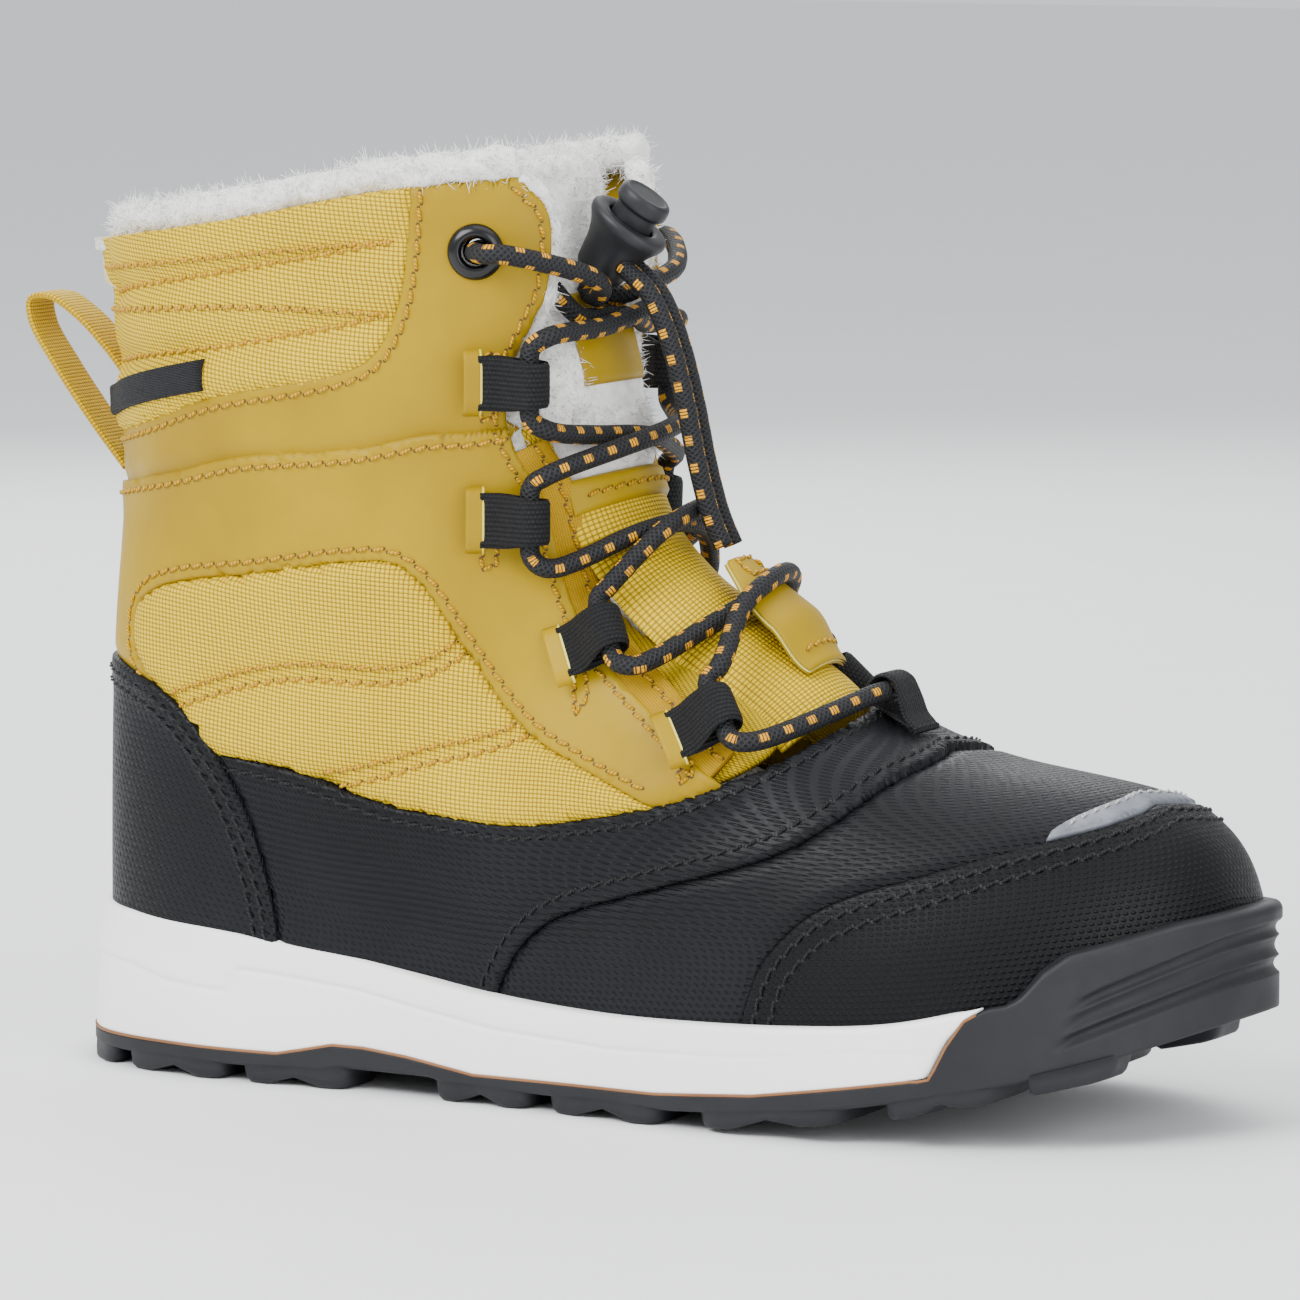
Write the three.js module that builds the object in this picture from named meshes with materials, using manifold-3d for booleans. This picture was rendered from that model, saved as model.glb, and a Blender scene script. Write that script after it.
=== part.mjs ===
// Insulated winter hiking boot for the right foot, one of a pair.
// Millimetres. +X points to the toe, +Y to the inner side of the foot, +Z up.
// The origin is the middle of the flat lug under the heel.
import * as THREE from 'three';
import { mergeVertices } from 'three/addons/utils/BufferGeometryUtils.js';
import Module from 'manifold-3d';

const wasm = await Module();
wasm.setup();

// ---------------------------------------------------------------- driving dimensions
const soleLength = 248;          // outsole, heel to toe tip
const ballWidth = 92;            // outsole across the ball
const collarHeight = 176;        // floor to the front of the collar
const heelOverhang = 35;         // origin to the rear of the outsole
const gap = 0.3;                 // air between pieces that touch
const seamGap = 0.35;            // half of the air between two panels of one layer
const panelThickness = 1.6;
const stiffenerThickness = 1.2;
const liningThickness = 3.6;
const boardThickness = 2.2;
const footbedThickness = 4.0;
const treadDepth = 3.6;
const grooveWidth = 4.2;
const laceDiameter = 3.8;
const webbingThickness = 1.2;
const loopWidth = 10.5;          // width of the lace loops' webbing
const eyeletFlange = 10.8;
const eyeletBore = 5.2;
const tongueHalfWidth = 18.5;
const tongueThickness = 2.2;
const tonguePadThickness = 4.0;
const pullLoopWidth = 10;
const buttonTravel = 2.5;

// layers of the upper, as distances out from the outer skin
const panelLayer = [-panelThickness, 0];
const stiffenerLayer = [-panelThickness - gap - stiffenerThickness, -panelThickness - gap];
const liningOuter = stiffenerLayer[0] - gap;
const liningLayer = [liningOuter - liningThickness, liningOuter];
const patchLayer = [gap, gap + 0.8];

// ---------------------------------------------------------------- colours
const finishes = {
  rubber: { color: 0x2b2e33, roughness: 0.7, metalness: 0 },
  foam: { color: 0xe9e9e4, roughness: 0.6, metalness: 0 },
  board: { color: 0x8c7b60, roughness: 0.9, metalness: 0 },
  coatedBlack: { color: 0x2f3338, roughness: 0.55, metalness: 0 },
  smoothYellow: { color: 0xc3aa2e, roughness: 0.5, metalness: 0 },
  wovenYellow: { color: 0xd9b53a, roughness: 0.85, metalness: 0 },
  fleece: { color: 0xefefea, roughness: 0.95, metalness: 0 },
  webbing: { color: 0x1d1e22, roughness: 0.8, metalness: 0 },
  cord: { color: 0x26272b, roughness: 0.75, metalness: 0 },
  reflective: { color: 0x8f959c, roughness: 0.35, metalness: 0.2 },
  plastic: { color: 0x25272b, roughness: 0.4, metalness: 0 },
  steel: { color: 0xb9bcc0, roughness: 0.3, metalness: 1 },
};

const boot = new THREE.Group();

function add(name, geometry, finish) {
  const mesh = new THREE.Mesh(geometry, new THREE.MeshStandardMaterial(finishes[finish]));
  mesh.name = name;
  boot.add(mesh);
  return mesh;
}

// ---------------------------------------------------------------- solids and booleans
function toSolid(geometry) {
  const plain = geometry.clone();
  plain.deleteAttribute('normal');
  plain.deleteAttribute('uv');
  const merged = mergeVertices(plain, 1e-4);
  const mesh = new wasm.Mesh({
    numProp: 3,
    vertProperties: new Float32Array(merged.attributes.position.array),
    triVerts: new Uint32Array(merged.index.array),
  });
  return new wasm.Manifold(mesh);
}

function fromSolid(solid, place = (x, y, z) => [x, y, z], mirror = false) {
  const mesh = solid.getMesh();
  const count = mesh.vertProperties.length / mesh.numProp;
  const positions = new Float32Array(count * 3);
  for (let i = 0; i < count; i += 1) {
    const at = i * mesh.numProp;
    const source = mesh.vertProperties;
    positions.set(place(source[at], source[at + 1], source[at + 2]), i * 3);
  }
  const geometry = new THREE.BufferGeometry();
  geometry.setAttribute('position', new THREE.BufferAttribute(positions, 3));
  const order = Array.from(mesh.triVerts);
  geometry.setIndex(mirror ? order.reverse() : order);
  return geometry;
}

function fromFaces(vertices, faces) {
  const geometry = new THREE.BufferGeometry();
  geometry.setAttribute('position', new THREE.Float32BufferAttribute(vertices.flat(), 3));
  geometry.setIndex(faces.flat());
  return geometry;
}

// ---------------------------------------------------------------- smooth curve through knots
function curve(x, knots, values) {
  const last = knots.length - 1;
  const at = Math.min(Math.max(x, knots[0]), knots[last]);
  let i = 0;
  while (i < last - 1 && at >= knots[i + 1]) i += 1;
  const slope = (k) => {
    if (k === 0) return (values[1] - values[0]) / (knots[1] - knots[0]);
    if (k === last) return (values[last] - values[last - 1]) / (knots[last] - knots[last - 1]);
    const before = knots[k] - knots[k - 1];
    const after = knots[k + 1] - knots[k];
    const rise = (values[k + 1] - values[k]) / after;
    const run = (values[k] - values[k - 1]) / before;
    return (before * rise + after * run) / (before + after);
  };
  const h = knots[i + 1] - knots[i];
  const s = (at - knots[i]) / h;
  return (1 + 2 * s) * (1 - s) ** 2 * values[i] + s * (1 - s) ** 2 * h * slope(i)
    + s * s * (3 - 2 * s) * values[i + 1] + s * s * (s - 1) * h * slope(i + 1);
}

// ---------------------------------------------------------------- the last: foot and shaft fields
// The fields are drawn at the pattern's size and stretched to the driving dimensions.
const pattern = { length: 248, width: 92, height: 176 };
const stretch = new THREE.Vector3(
  soleLength / pattern.length,
  ballWidth / pattern.width,
  1,
);
const featherFloor = 12;         // underside of the last's side walls
stretch.z = (collarHeight - featherFloor) / (pattern.height - featherFloor);
const lastToe = 206.5;
const lastHeel = -28.5;
const shaftAxis = 30;            // x of the upright line that the surface is seen from

function clamp(value, low, high) {
  return Math.min(Math.max(value, low), high);
}

function footField(x, y, z) {
  const beyond = Math.max(x - lastToe, lastHeel - x);
  if (beyond > 0) return beyond + 5;
  const length = [-30, 0, 40, 80, 120, 150, 175, 208];
  const lateral = curve(x, length, [28, 29, 30, 34, 40, 41.5, 39, 34]);
  const medial = curve(x, length, [28, 29, 28, 31, 40, 43, 41, 38]);
  const top = curve(x, [-30, 60, 85, 100, 115, 131, 150, 170, 190, 208],
    [100, 104, 100, 93, 84, 75.5, 68, 64.5, 63, 62.5]);
  const toe = clamp((x - 150) / (lastToe - 150), 0, 1);
  const heel = clamp((5 - x) / (5 - lastHeel), 0, 1);
  const narrow = (1 - toe ** 2.6) ** (1 / 2.6) * (1 - heel ** 2.2) ** (1 / 2.2);
  const lower = (1 - toe ** 4.5) ** (1 / 4.5);
  const middle = curve(x, [-31, 60, 150, 208], [0, 0, 1, 6]);
  const halfWidth = (y < middle ? lateral : medial) * Math.max(narrow, 1e-3);
  const height = Math.max((top - featherFloor) * Math.max(lower, 1e-3), 1e-3);
  const power = 2.5;
  const q = (Math.abs(y - middle) / halfWidth) ** power
    + (Math.max(z - featherFloor, 0) / height) ** power;
  return (q ** (1 / power) - 1) * Math.min(halfWidth, height);
}

function shaftField(x, y, z) {
  const middle = 22;
  const back = curve(z, [12, 30, 60, 80, 100, 120, 140, 165, 190],
    [-26, -26.5, -26, -25, -22.5, -23, -25.5, -28, -28]);
  const front = curve(z, [12, 60, 90, 110, 130, 150, 180, 200], [58, 64, 73, 78, 79, 79, 79, 79]);
  const half = curve(z, [12, 50, 80, 110, 140, 180], [28, 29, 31, 33, 35, 36]);
  const reach = x > middle ? front - middle : middle - back;
  const power = x > middle ? curve(z, [12, 90, 140, 190], [2.2, 2.3, 3.0, 3.2]) : 2.25;
  const q = (Math.abs(x - middle) / reach) ** power + (Math.abs(y) / half) ** power;
  return (q ** (1 / power) - 1) * Math.min(reach, half);
}

function patternField(x, y, z) {
  const blend = 16;
  const foot = footField(x, y, z);
  const shaft = shaftField(x, y, z);
  const h = clamp(0.5 + 0.5 * (shaft - foot) / blend, 0, 1);
  return shaft * (1 - h) + foot * h - blend * h * (1 - h);
}

function toReal(x, y, z) {
  return [x * stretch.x, y * stretch.y, featherFloor + (z - featherFloor) * stretch.z];
}

function field(x, y, z) {
  return patternField(x / stretch.x, y / stretch.y, featherFloor + (z - featherFloor) / stretch.z);
}

// ---------------------------------------------------------------- the skin as a chart
// u runs round the boot: 0 at the toe, 1 at the heel, positive on the lateral side.
// t runs up it: 0 at the feather line, 1 at the collar's edge.
function angleOf(u) {
  const side = Math.sign(u);
  return side * curve(Math.abs(u), [0, 0.12, 0.25, 0.45, 0.65, 0.85, 1], [0, 8, 17, 32, 58, 125, 180]);
}

function skinPoint(u, t) {
  const angle = angleOf(u);
  const away = Math.abs(angle);
  const front = Math.cos(THREE.MathUtils.degToRad(angle) / 2) ** 3;
  const base = curve(away, [0, 10, 20, 35, 60, 100, 140, 180], [25, 22, 17, 14, 15, 17, 21, 23]);
  const top = 160 + 16 * Math.max(Math.cos(THREE.MathUtils.degToRad(angle) / 2), 0) ** 1.5;
  const steps = [0, 0.15, 0.3, 0.45, 0.6, 0.8, 1];
  const share = front * curve(t, steps, [0, 0.02, 0.05, 0.11, 0.25, 0.56, 1]) + (1 - front) * t;
  const tilt = THREE.MathUtils.degToRad(front * curve(t, steps, [0, 9, 19, 32, 37, 24, 0]));
  const start = base + (top - base) * share;
  const a = THREE.MathUtils.degToRad(angle);
  const along = [Math.cos(a), -Math.sin(a), Math.tan(tilt)];
  const at = (r) => [shaftAxis + along[0] * r, along[1] * r, start + along[2] * r];
  let near = 8;
  while (patternField(...at(near + 3)) < 0) near += 3;
  let far = near + 3;
  for (let i = 0; i < 30; i += 1) {
    const half = (near + far) / 2;
    if (patternField(...at(half)) < 0) near = half;
    else far = half;
  }
  return toReal(...at(near));
}

function skinNormal(point, t) {
  const [x, y, z] = point;
  const e = 0.05;
  const upright = THREE.MathUtils.smoothstep(t, 0, 0.1);
  return new THREE.Vector3(
    field(x + e, y, z) - field(x - e, y, z),
    field(x, y + e, z) - field(x, y - e, z),
    (field(x, y, z + e) - field(x, y, z - e)) * upright,
  ).normalize();
}

// The skin is sampled once on a net, and every layer is made of the net's flat triangles.
const columns = 32;
const rows = [0, 0.04, 0.09, 0.145, 0.2, 0.26, 0.33, 0.41, 0.49, 0.58, 0.67, 0.76, 0.88, 1];
const net = [];
for (let i = 0; i < columns; i += 1) {
  let u = (2 * i) / columns;
  if (u > 1) u -= 2;
  const line = [];
  for (const t of rows) {
    const point = skinPoint(u, t);
    line.push({ point: new THREE.Vector3(...point), normal: skinNormal(point, t) });
  }
  net.push(line);
}

function netPoint(i, j, out) {
  const node = net[((i % columns) + columns) % columns][j];
  return node.point.clone().addScaledVector(node.normal, out);
}

// where a chart point falls: its cell, the cell's triangle and the three shares
function locate(u, t) {
  const column = (u * columns) / 2;
  const i = Math.floor(column + 1e-7);
  const fx = column - i;
  let j = 0;
  while (j < rows.length - 2 && t >= rows[j + 1] - 1e-9) j += 1;
  const fy = (t - rows[j]) / (rows[j + 1] - rows[j]);
  if (fx >= fy) return [[i, j, 1 - fx], [i + 1, j, fx - fy], [i + 1, j + 1, fy]];
  return [[i, j, 1 - fy], [i + 1, j + 1, fx], [i, j + 1, fy - fx]];
}

function skin(u, t, out = 0) {
  const sum = new THREE.Vector3();
  for (const [i, j, share] of locate(u, t)) sum.addScaledVector(netPoint(i, j, out), share);
  return sum;
}

// ---------------------------------------------------------------- panels
// A panel is cut out of one layer in the flat chart and then laid on the last.
// The chart is bent a little, so that the net's triangles aren't merged by the cut.
const chartWidth = 270;
const chartHeight = 150;
const bend = 2e-4;

function bendAt(i, j, middle) {
  const x = (2 * i / columns - middle) * chartWidth;
  const y = rows[j] * chartHeight;
  return bend * (x * x + y * y + x * y);
}

function slab(uLow, uHigh, layer, middle) {
  const first = Math.floor((uLow * columns) / 2) - 1;
  const last = Math.ceil((uHigh * columns) / 2) + 1;
  const wide = last - first + 1;
  const high = rows.length;
  const vertices = [];
  for (const out of layer) {
    for (let j = 0; j < high; j += 1) {
      for (let i = first; i <= last; i += 1) {
        const x = (2 * i / columns - middle) * chartWidth;
        vertices.push([x, rows[j] * chartHeight, bendAt(i, j, middle) + out]);
      }
    }
  }
  const faces = [];
  const top = wide * high;
  const at = (i, j) => j * wide + i;
  for (let j = 0; j < high - 1; j += 1) {
    for (let i = 0; i < wide - 1; i += 1) {
      const [a, b, c, d] = [at(i, j), at(i + 1, j), at(i + 1, j + 1), at(i, j + 1)];
      faces.push([a, c, b], [a, d, c]);
      faces.push([top + a, top + b, top + c], [top + a, top + c, top + d]);
    }
  }
  const wall = (a, b) => faces.push([a, b, top + b], [a, top + b, top + a]);
  for (let i = 0; i < wide - 1; i += 1) {
    wall(at(i, 0), at(i + 1, 0));
    wall(at(i + 1, high - 1), at(i, high - 1));
  }
  for (let j = 0; j < high - 1; j += 1) {
    wall(at(wide - 1, j), at(wide - 1, j + 1));
    wall(at(0, j + 1), at(0, j));
  }
  return toSolid(fromFaces(vertices, faces));
}

// moves each side of a closed outline inwards by a distance
function inset(points, distance) {
  const area = THREE.ShapeUtils.area(points);
  const turn = area > 0 ? 1 : -1;
  return points.map((point, k) => {
    const before = points[(k + points.length - 1) % points.length];
    const after = points[(k + 1) % points.length];
    const one = new THREE.Vector2(point.x - before.x, point.y - before.y).normalize();
    const two = new THREE.Vector2(after.x - point.x, after.y - point.y).normalize();
    const normal = new THREE.Vector2(-one.y - two.y, one.x + two.x).normalize().multiplyScalar(turn);
    const spread = Math.max(Math.abs(-one.y * normal.x + one.x * normal.y), 0.5);
    return point.clone().addScaledVector(normal, distance / spread);
  });
}

// joins runs of chart points into one outline, leaving out doubled ends
function joinRuns(...runs) {
  const points = [];
  for (const run of runs) {
    for (const [u, t] of run) {
      const last = points[points.length - 1];
      if (!last || Math.hypot(last[0] - u, last[1] - t) > 1e-6) points.push([u, t]);
    }
  }
  const [first, last] = [points[0], points[points.length - 1]];
  if (Math.hypot(first[0] - last[0], first[1] - last[1]) < 1e-6) points.pop();
  return points;
}

function panelSolid(outline, layer) {
  const us = outline.map((p) => p[0]);
  const [uLow, uHigh] = [Math.min(...us), Math.max(...us)];
  const middle = Math.round((uLow + uHigh) / 2);
  const flat = outline.map(([u, t]) => new THREE.Vector2((u - middle) * chartWidth, t * chartHeight));
  const shape = new THREE.Shape(inset(flat, seamGap));
  const prism = new THREE.ExtrudeGeometry(shape, { depth: 120, bevelEnabled: false });
  prism.translate(0, 0, -20);
  const cut = slab(uLow, uHigh, layer, middle).intersect(toSolid(prism));
  const place = (x, y, z) => {
    const u = x / chartWidth + middle;
    const t = clamp(y / chartHeight, 0, 1);
    let flatHeight = 0;
    for (const [i, j, share] of locate(u, t)) flatHeight += share * bendAt(i, j, middle);
    const out = clamp(z - flatHeight, layer[0], layer[1]);
    return skin(u, t, out).toArray();
  };
  return toSolid(fromSolid(cut, place, true));   // the chart is left-handed
}

function spline(points, perSpan = 2) {
  const line = new THREE.SplineCurve(points.map(([u, t]) => new THREE.Vector2(u, t)));
  return line.getPoints((points.length - 1) * perSpan).map((p) => [p.x, p.y]);
}

const reversed = (run) => run.slice().reverse();
const mirrored = (run) => run.map(([u, t]) => [-u, t]);
const pastHeel = (run) => run.map(([u, t]) => [2 - u, t]);

// ---------------------------------------------------------------- seams, lateral side
const under = -0.02;             // just below the feather line
const over = 1.02;               // just above the collar's edge
const seams = {
  toeCap: spline([[0, 0.184], [0.081, 0.18], [0.154, 0.18], [0.22, 0.179], [0.261, 0.177], [0.297, 0.16],
    [0.327, 0.115], [0.341, 0.05], [0.345, under]]),
  saddle: spline([[0, 0.28], [0.139, 0.277], [0.212, 0.268], [0.299, 0.248], [0.391, 0.243],
    [0.459, 0.228], [0.508, 0.178], [0.54, 0.09], [0.552, under]]),
  heelLow: spline([[0.8, under], [0.803, 0.1], [0.825, 0.223], [0.855, 0.31]]),
  heelMiddle: spline([[0.855, 0.31], [0.88, 0.352], [0.905, 0.383]]),
  heelTop: spline([[0.905, 0.383], [0.95, 0.405], [1, 0.41]]),
  guardRear: spline([[0.855, 0.31], [0.745, 0.351], [0.616, 0.385], [0.5, 0.37], [0.371, 0.339]]),
  guardFront: spline([[0.371, 0.339], [0.335, 0.336], [0.3, 0.335]], 1),
  throatBase: spline([[0.3, 0.335], [0.2, 0.333], [0.1, 0.335], [0, 0.337]]),
  window: spline([[0.905, 0.383], [0.922, 0.44], [0.912, 0.51], [0.823, 0.567], [0.725, 0.641],
    [0.66, 0.657], [0.579, 0.588], [0.487, 0.497], [0.412, 0.397], [0.371, 0.339]]),
  collarLow: spline([[1, 0.645], [0.9, 0.675], [0.818, 0.72], [0.665, 0.789], [0.57, 0.802],
    [0.488, 0.805]]),
  collarTop: spline([[1, 0.722], [0.92, 0.745], [0.846, 0.787], [0.738, 0.835], [0.694, 0.861],
    [0.669, 0.901], [0.658, 0.95], [0.653, over]]),
  eyestay: spline([[0.3, 0.335], [0.313, 0.369], [0.326, 0.448], [0.343, 0.541], [0.368, 0.651],
    [0.398, 0.727], [0.45, 0.77], [0.488, 0.805]]),
  wing: spline([[0.488, 0.805], [0.489, 0.845], [0.441, 0.883], [0.397, 0.912], [0.383, 0.95],
    [0.4, 0.975], [0.445, 0.99], [0.49, 1.01]]),
};

const overToe = (run) => joinRuns(reversed(run), mirrored(run));

const outlines = {
  toeCap: overToe(seams.toeCap),
  vamp: joinRuns(overToe(seams.saddle), reversed(overToe(seams.toeCap))),
  saddleGuard: joinRuns(
    overToe(seams.saddle),
    mirrored(seams.heelLow),
    mirrored(seams.guardRear),
    mirrored(seams.guardFront),
    mirrored(seams.throatBase),
    reversed(seams.throatBase),
    reversed(seams.guardFront),
    reversed(seams.guardRear),
    reversed(seams.heelLow),
  ),
  heelGuard: joinRuns(
    seams.heelLow,
    seams.heelMiddle,
    seams.heelTop,
    pastHeel(reversed(seams.heelTop)),
    pastHeel(reversed(seams.heelMiddle)),
    pastHeel(reversed(seams.heelLow)),
  ),
  quarterFabric: joinRuns(seams.guardRear, reversed(seams.window), reversed(seams.heelMiddle)),
  quarterOverlay: joinRuns(
    seams.heelTop,
    seams.collarLow,
    reversed(seams.eyestay),
    reversed(seams.guardFront),
    reversed(seams.window),
  ),
  collarBand: joinRuns(reversed(seams.collarLow), seams.collarTop, reversed(seams.wing)),
  collarFabric: joinRuns(seams.collarTop.slice().reverse(), pastHeel(seams.collarTop)),
  reflectiveStrip: [[-0.13, 0.189], [0.13, 0.189], [0.11, 0.2], [0.08, 0.208], [-0.08, 0.208],
    [-0.11, 0.2]],
  toePuff: spline([[0.3, 0.03], [0.28, 0.1], [0.2, 0.145], [0, 0.155], [-0.2, 0.145], [-0.28, 0.1],
    [-0.3, 0.03]]),
  heelCounter: spline([[0.815, 0.03], [0.83, 0.15], [0.88, 0.31], [1, 0.37], [1.12, 0.31],
    [1.17, 0.15], [1.185, 0.03]]),
  collarFoam: joinRuns(
    [[0.69, 0.975], [0.7, 0.9]],
    spline([[0.76, 0.85], [0.86, 0.81], [1, 0.75], [1.14, 0.81], [1.24, 0.85]]),
    [[1.3, 0.9], [1.31, 0.975]],
  ),
  lining: joinRuns(
    [[0.002, under], [0.998, under], [0.998, over], [0.63, over], [0.63, 0.88], [0.57, 0.8],
      [0.5, 0.72], [0.45, 0.6], [0.42, 0.5], [0.4, 0.42], [0.37, 0.35], [0.3, 0.322], [0.002, 0.322]],
  ),
  gusset: spline([[0.31, 0.345], [0.2, 0.36], [0.2, 0.45], [0.22, 0.6], [0.28, 0.72], [0.4, 0.8],
    [0.46, 0.79], [0.43, 0.72], [0.39, 0.6], [0.37, 0.5], [0.35, 0.42]], 1),
  sideTag: [[0.978, 0.74], [0.978, 0.785], [0.853, 0.832], [0.853, 0.79]],
};

function addPanel(name, outline, layer, finish) {
  return add(name, fromSolid(panelSolid(outline, layer)), finish);
}

// ---------------------------------------------------------------- closed bodies across the boot
// A cross body is ruled from side to side between two heights, along the last's feather line.
function crossBody(out, low, high) {
  const half = columns / 2;
  const ring = (rise) => {
    const points = [];
    for (let i = 0; i < columns; i += 1) {
      const p = netPoint(i, 0, out);
      points.push([p.x, p.y, p.z + rise]);
    }
    return points;
  };
  const vertices = [...ring(low), ...ring(high)];
  const faces = [];
  for (let i = 0; i < columns; i += 1) {
    const next = (i + 1) % columns;
    faces.push([i, columns + next, next], [i, columns + i, columns + next]);
  }
  const opposite = (i) => (columns - i) % columns;
  for (let i = 0; i < half; i += 1) {
    const [a, b, c, d] = [i, i + 1, opposite(i + 1), opposite(i)];
    if (a !== d) faces.push([a, b, d], [columns + a, columns + d, columns + b]);
    if (b !== c) faces.push([b, c, d], [columns + b, columns + d, columns + c]);
  }
  return { vertices, faces };
}

function orient(body) {
  const solid = fromFaces(body.vertices, body.faces);
  const made = toSolid(solid);
  if (made.volume() > 0) return made;
  return toSolid(fromFaces(body.vertices, body.faces.map((face) => face.slice().reverse())));
}

// the space that the upper fills inside the sole
function upperSpace(out, below, topRow) {
  const half = columns / 2;
  const vertices = [];
  for (let j = -1; j <= topRow; j += 1) {
    for (let i = 0; i < columns; i += 1) {
      const p = netPoint(i, Math.max(j, 0), out);
      vertices.push([p.x, p.y, p.z - (j < 0 ? below : 0)]);
    }
  }
  const faces = [];
  const at = (i, j) => (j + 1) * columns + (i % columns);
  for (let j = -1; j < topRow; j += 1) {
    for (let i = 0; i < columns; i += 1) {
      const [a, b, c, d] = [at(i, j), at(i + 1, j), at(i + 1, j + 1), at(i, j + 1)];
      faces.push([a, c, b], [a, d, c]);
    }
  }
  const opposite = (i) => (columns - i) % columns;
  for (let i = 0; i < half; i += 1) {
    const ladder = [i, i + 1, opposite(i + 1), opposite(i)];
    const [a, b, c, d] = ladder;
    const lift = (topRow + 1) * columns;
    if (a !== d) faces.push([a, b, d], [lift + a, lift + d, lift + b]);
    if (b !== c) faces.push([b, c, d], [lift + b, lift + d, lift + c]);
  }
  return orient({ vertices, faces });
}

// ---------------------------------------------------------------- sole
const soleOutline = [[-heelOverhang, 2], [-25, -24], [0, -34], [40, -35], [80, -39], [120, -45],
  [150, -46], [180, -38], [200, -22], [212, 2], [209, 14], [200, 27], [180, 41], [150, 46], [120, 43],
  [80, 34], [40, 31], [0, 34], [-25, 27]];

function soleBlock(low, high) {
  const loop = new THREE.CatmullRomCurve3(
    soleOutline.map(([x, y]) => new THREE.Vector3(x * stretch.x, y * stretch.y, 0)),
    true,
  );
  const shape = new THREE.Shape(loop.getPoints(52).slice(0, -1).map((p) => new THREE.Vector2(p.x, p.y)));
  const geometry = new THREE.ExtrudeGeometry(shape, { depth: high - low, bevelEnabled: false });
  geometry.translate(0, 0, low);
  return toSolid(geometry);
}

// a side view extruded right across the boot
function sideCut(points) {
  const shape = new THREE.Shape(points.map(([x, z]) => new THREE.Vector2(x * stretch.x, z)));
  const reach = 2 * ballWidth;
  const geometry = new THREE.ExtrudeGeometry(shape, { depth: reach, bevelEnabled: false });
  geometry.rotateX(Math.PI / 2);
  geometry.translate(0, reach / 2, 0);
  return toSolid(geometry);
}

function box(low, high) {
  const size = high.map((value, k) => value - low[k]);
  const geometry = new THREE.BoxGeometry(...size);
  geometry.translate(...low.map((value, k) => value + size[k] / 2));
  return toSolid(geometry);
}

const soleRear = -heelOverhang - 10;
const midsoleTop = [[soleRear, 31.5], [0, 29.5], [32, 26.2], [64, 21.3], [90, 19.6], [115, 20],
  [136, 21], [156, 22.8], [173, 26.5]];
const midsoleFront = [[166, 20], [163, 13.3]];
const midsoleUnder = [[160, 12.6], [128, 7.7], [106, 6], [65, 5.5], [50, 7.6], [33, 8.6], [21, 6],
  [soleRear, 6.2]];
const bumperTop = [[179, 27], [183, 33.5], [187, 36.5], [195, 38.5], [203, 41], [225, 45]];
const ground = [[225, 24], [213, 20], [190, 12.5], [160, 5.8], [130, 1.4], [110, 0], [soleRear, 0]];
const boardLow = -gap - boardThickness;

function addSole() {
  const pocket = upperSpace(gap, -boardLow + gap, 7);
  const block = soleBlock(-1, 60);
  const shankSize = { from: 30 * stretch.x, to: 95 * stretch.x, half: 9, thickness: 1.2 };
  const edge = Math.min(...net.map((line) => line[0].point.z));
  const shankLevel = edge + boardLow - gap;
  const shankLow = [shankSize.from, -shankSize.half, shankLevel - shankSize.thickness];
  const shankHigh = [shankSize.to, shankSize.half, shankLevel];
  const recess = box(
    shankLow.map((value) => value - gap),
    [shankHigh[0] + gap, shankHigh[1] + gap, shankLevel + 3],
  );
  const midsole = block
    .intersect(sideCut([...midsoleTop, ...midsoleFront, ...midsoleUnder]))
    .subtract(pocket)
    .subtract(recess);
  add('midsole', fromSolid(midsole), 'foam');
  add('shank', fromSolid(box(shankLow, shankHigh)), 'steel');

  const lowered = midsoleUnder.map(([x, z]) => [x, z - gap]);
  const bumperRear = [[163 + gap, 13], [166 + gap, 20], [173 + gap, 26.5]];
  const profile = [...reversed(lowered), ...bumperRear, ...bumperTop, ...ground];
  let outsole = block.intersect(sideCut(profile)).subtract(pocket);
  const lift = (x) => curve(x, [110, 130, 160, 190, 213], [0, 1.4, 5.8, 12.5, 20]);
  const groove = (x) => sideCut([[x - grooveWidth / 2, -2], [x + grooveWidth / 2, -2],
    [x + grooveWidth / 3, lift(x) + treadDepth], [x - grooveWidth / 3, lift(x) + treadDepth]]);
  for (const x of [-22, -11, 11, 22, 70, 80, 101, 113, 126, 139, 152, 165, 178, 191]) {
    outsole = outsole.subtract(groove(x));
  }
  outsole = outsole.subtract(sideCut([[30, -1], [59, -1], [55, 4.2], [34, 4.8]]));
  const channel = 3;
  for (const y of [-18, 18]) {
    const rail = box([-60, y - channel / 2, -2], [112 * stretch.x, y + channel / 2, treadDepth]);
    outsole = outsole.subtract(rail);
  }
  add('outsole', fromSolid(outsole), 'rubber');
  add('lasting_board', fromSolid(orient(crossBody(-gap, boardLow, -gap))), 'board');
  const footbedEdge = liningLayer[0] - 1;
  add('footbed', fromSolid(orient(crossBody(footbedEdge, gap, gap + footbedThickness))), 'fleece');
}

// ---------------------------------------------------------------- upper
const eyeletSpot = [0.563, 0.945];
const barrelRadius = eyeletBore / 2 + 0.8;

// a frame on the skin: z out along the normal, y up the boot
function skinFrame(u, t, towards) {
  const p = skin(u, t);
  const out = new THREE.Vector3(...skinNormal(p.toArray(), t));
  const up = towards.clone().sub(p);
  up.addScaledVector(out, -up.dot(out)).normalize();
  const side = new THREE.Vector3().crossVectors(up, out);
  return new THREE.Matrix4().makeBasis(side, up, out).setPosition(p);
}

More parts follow.
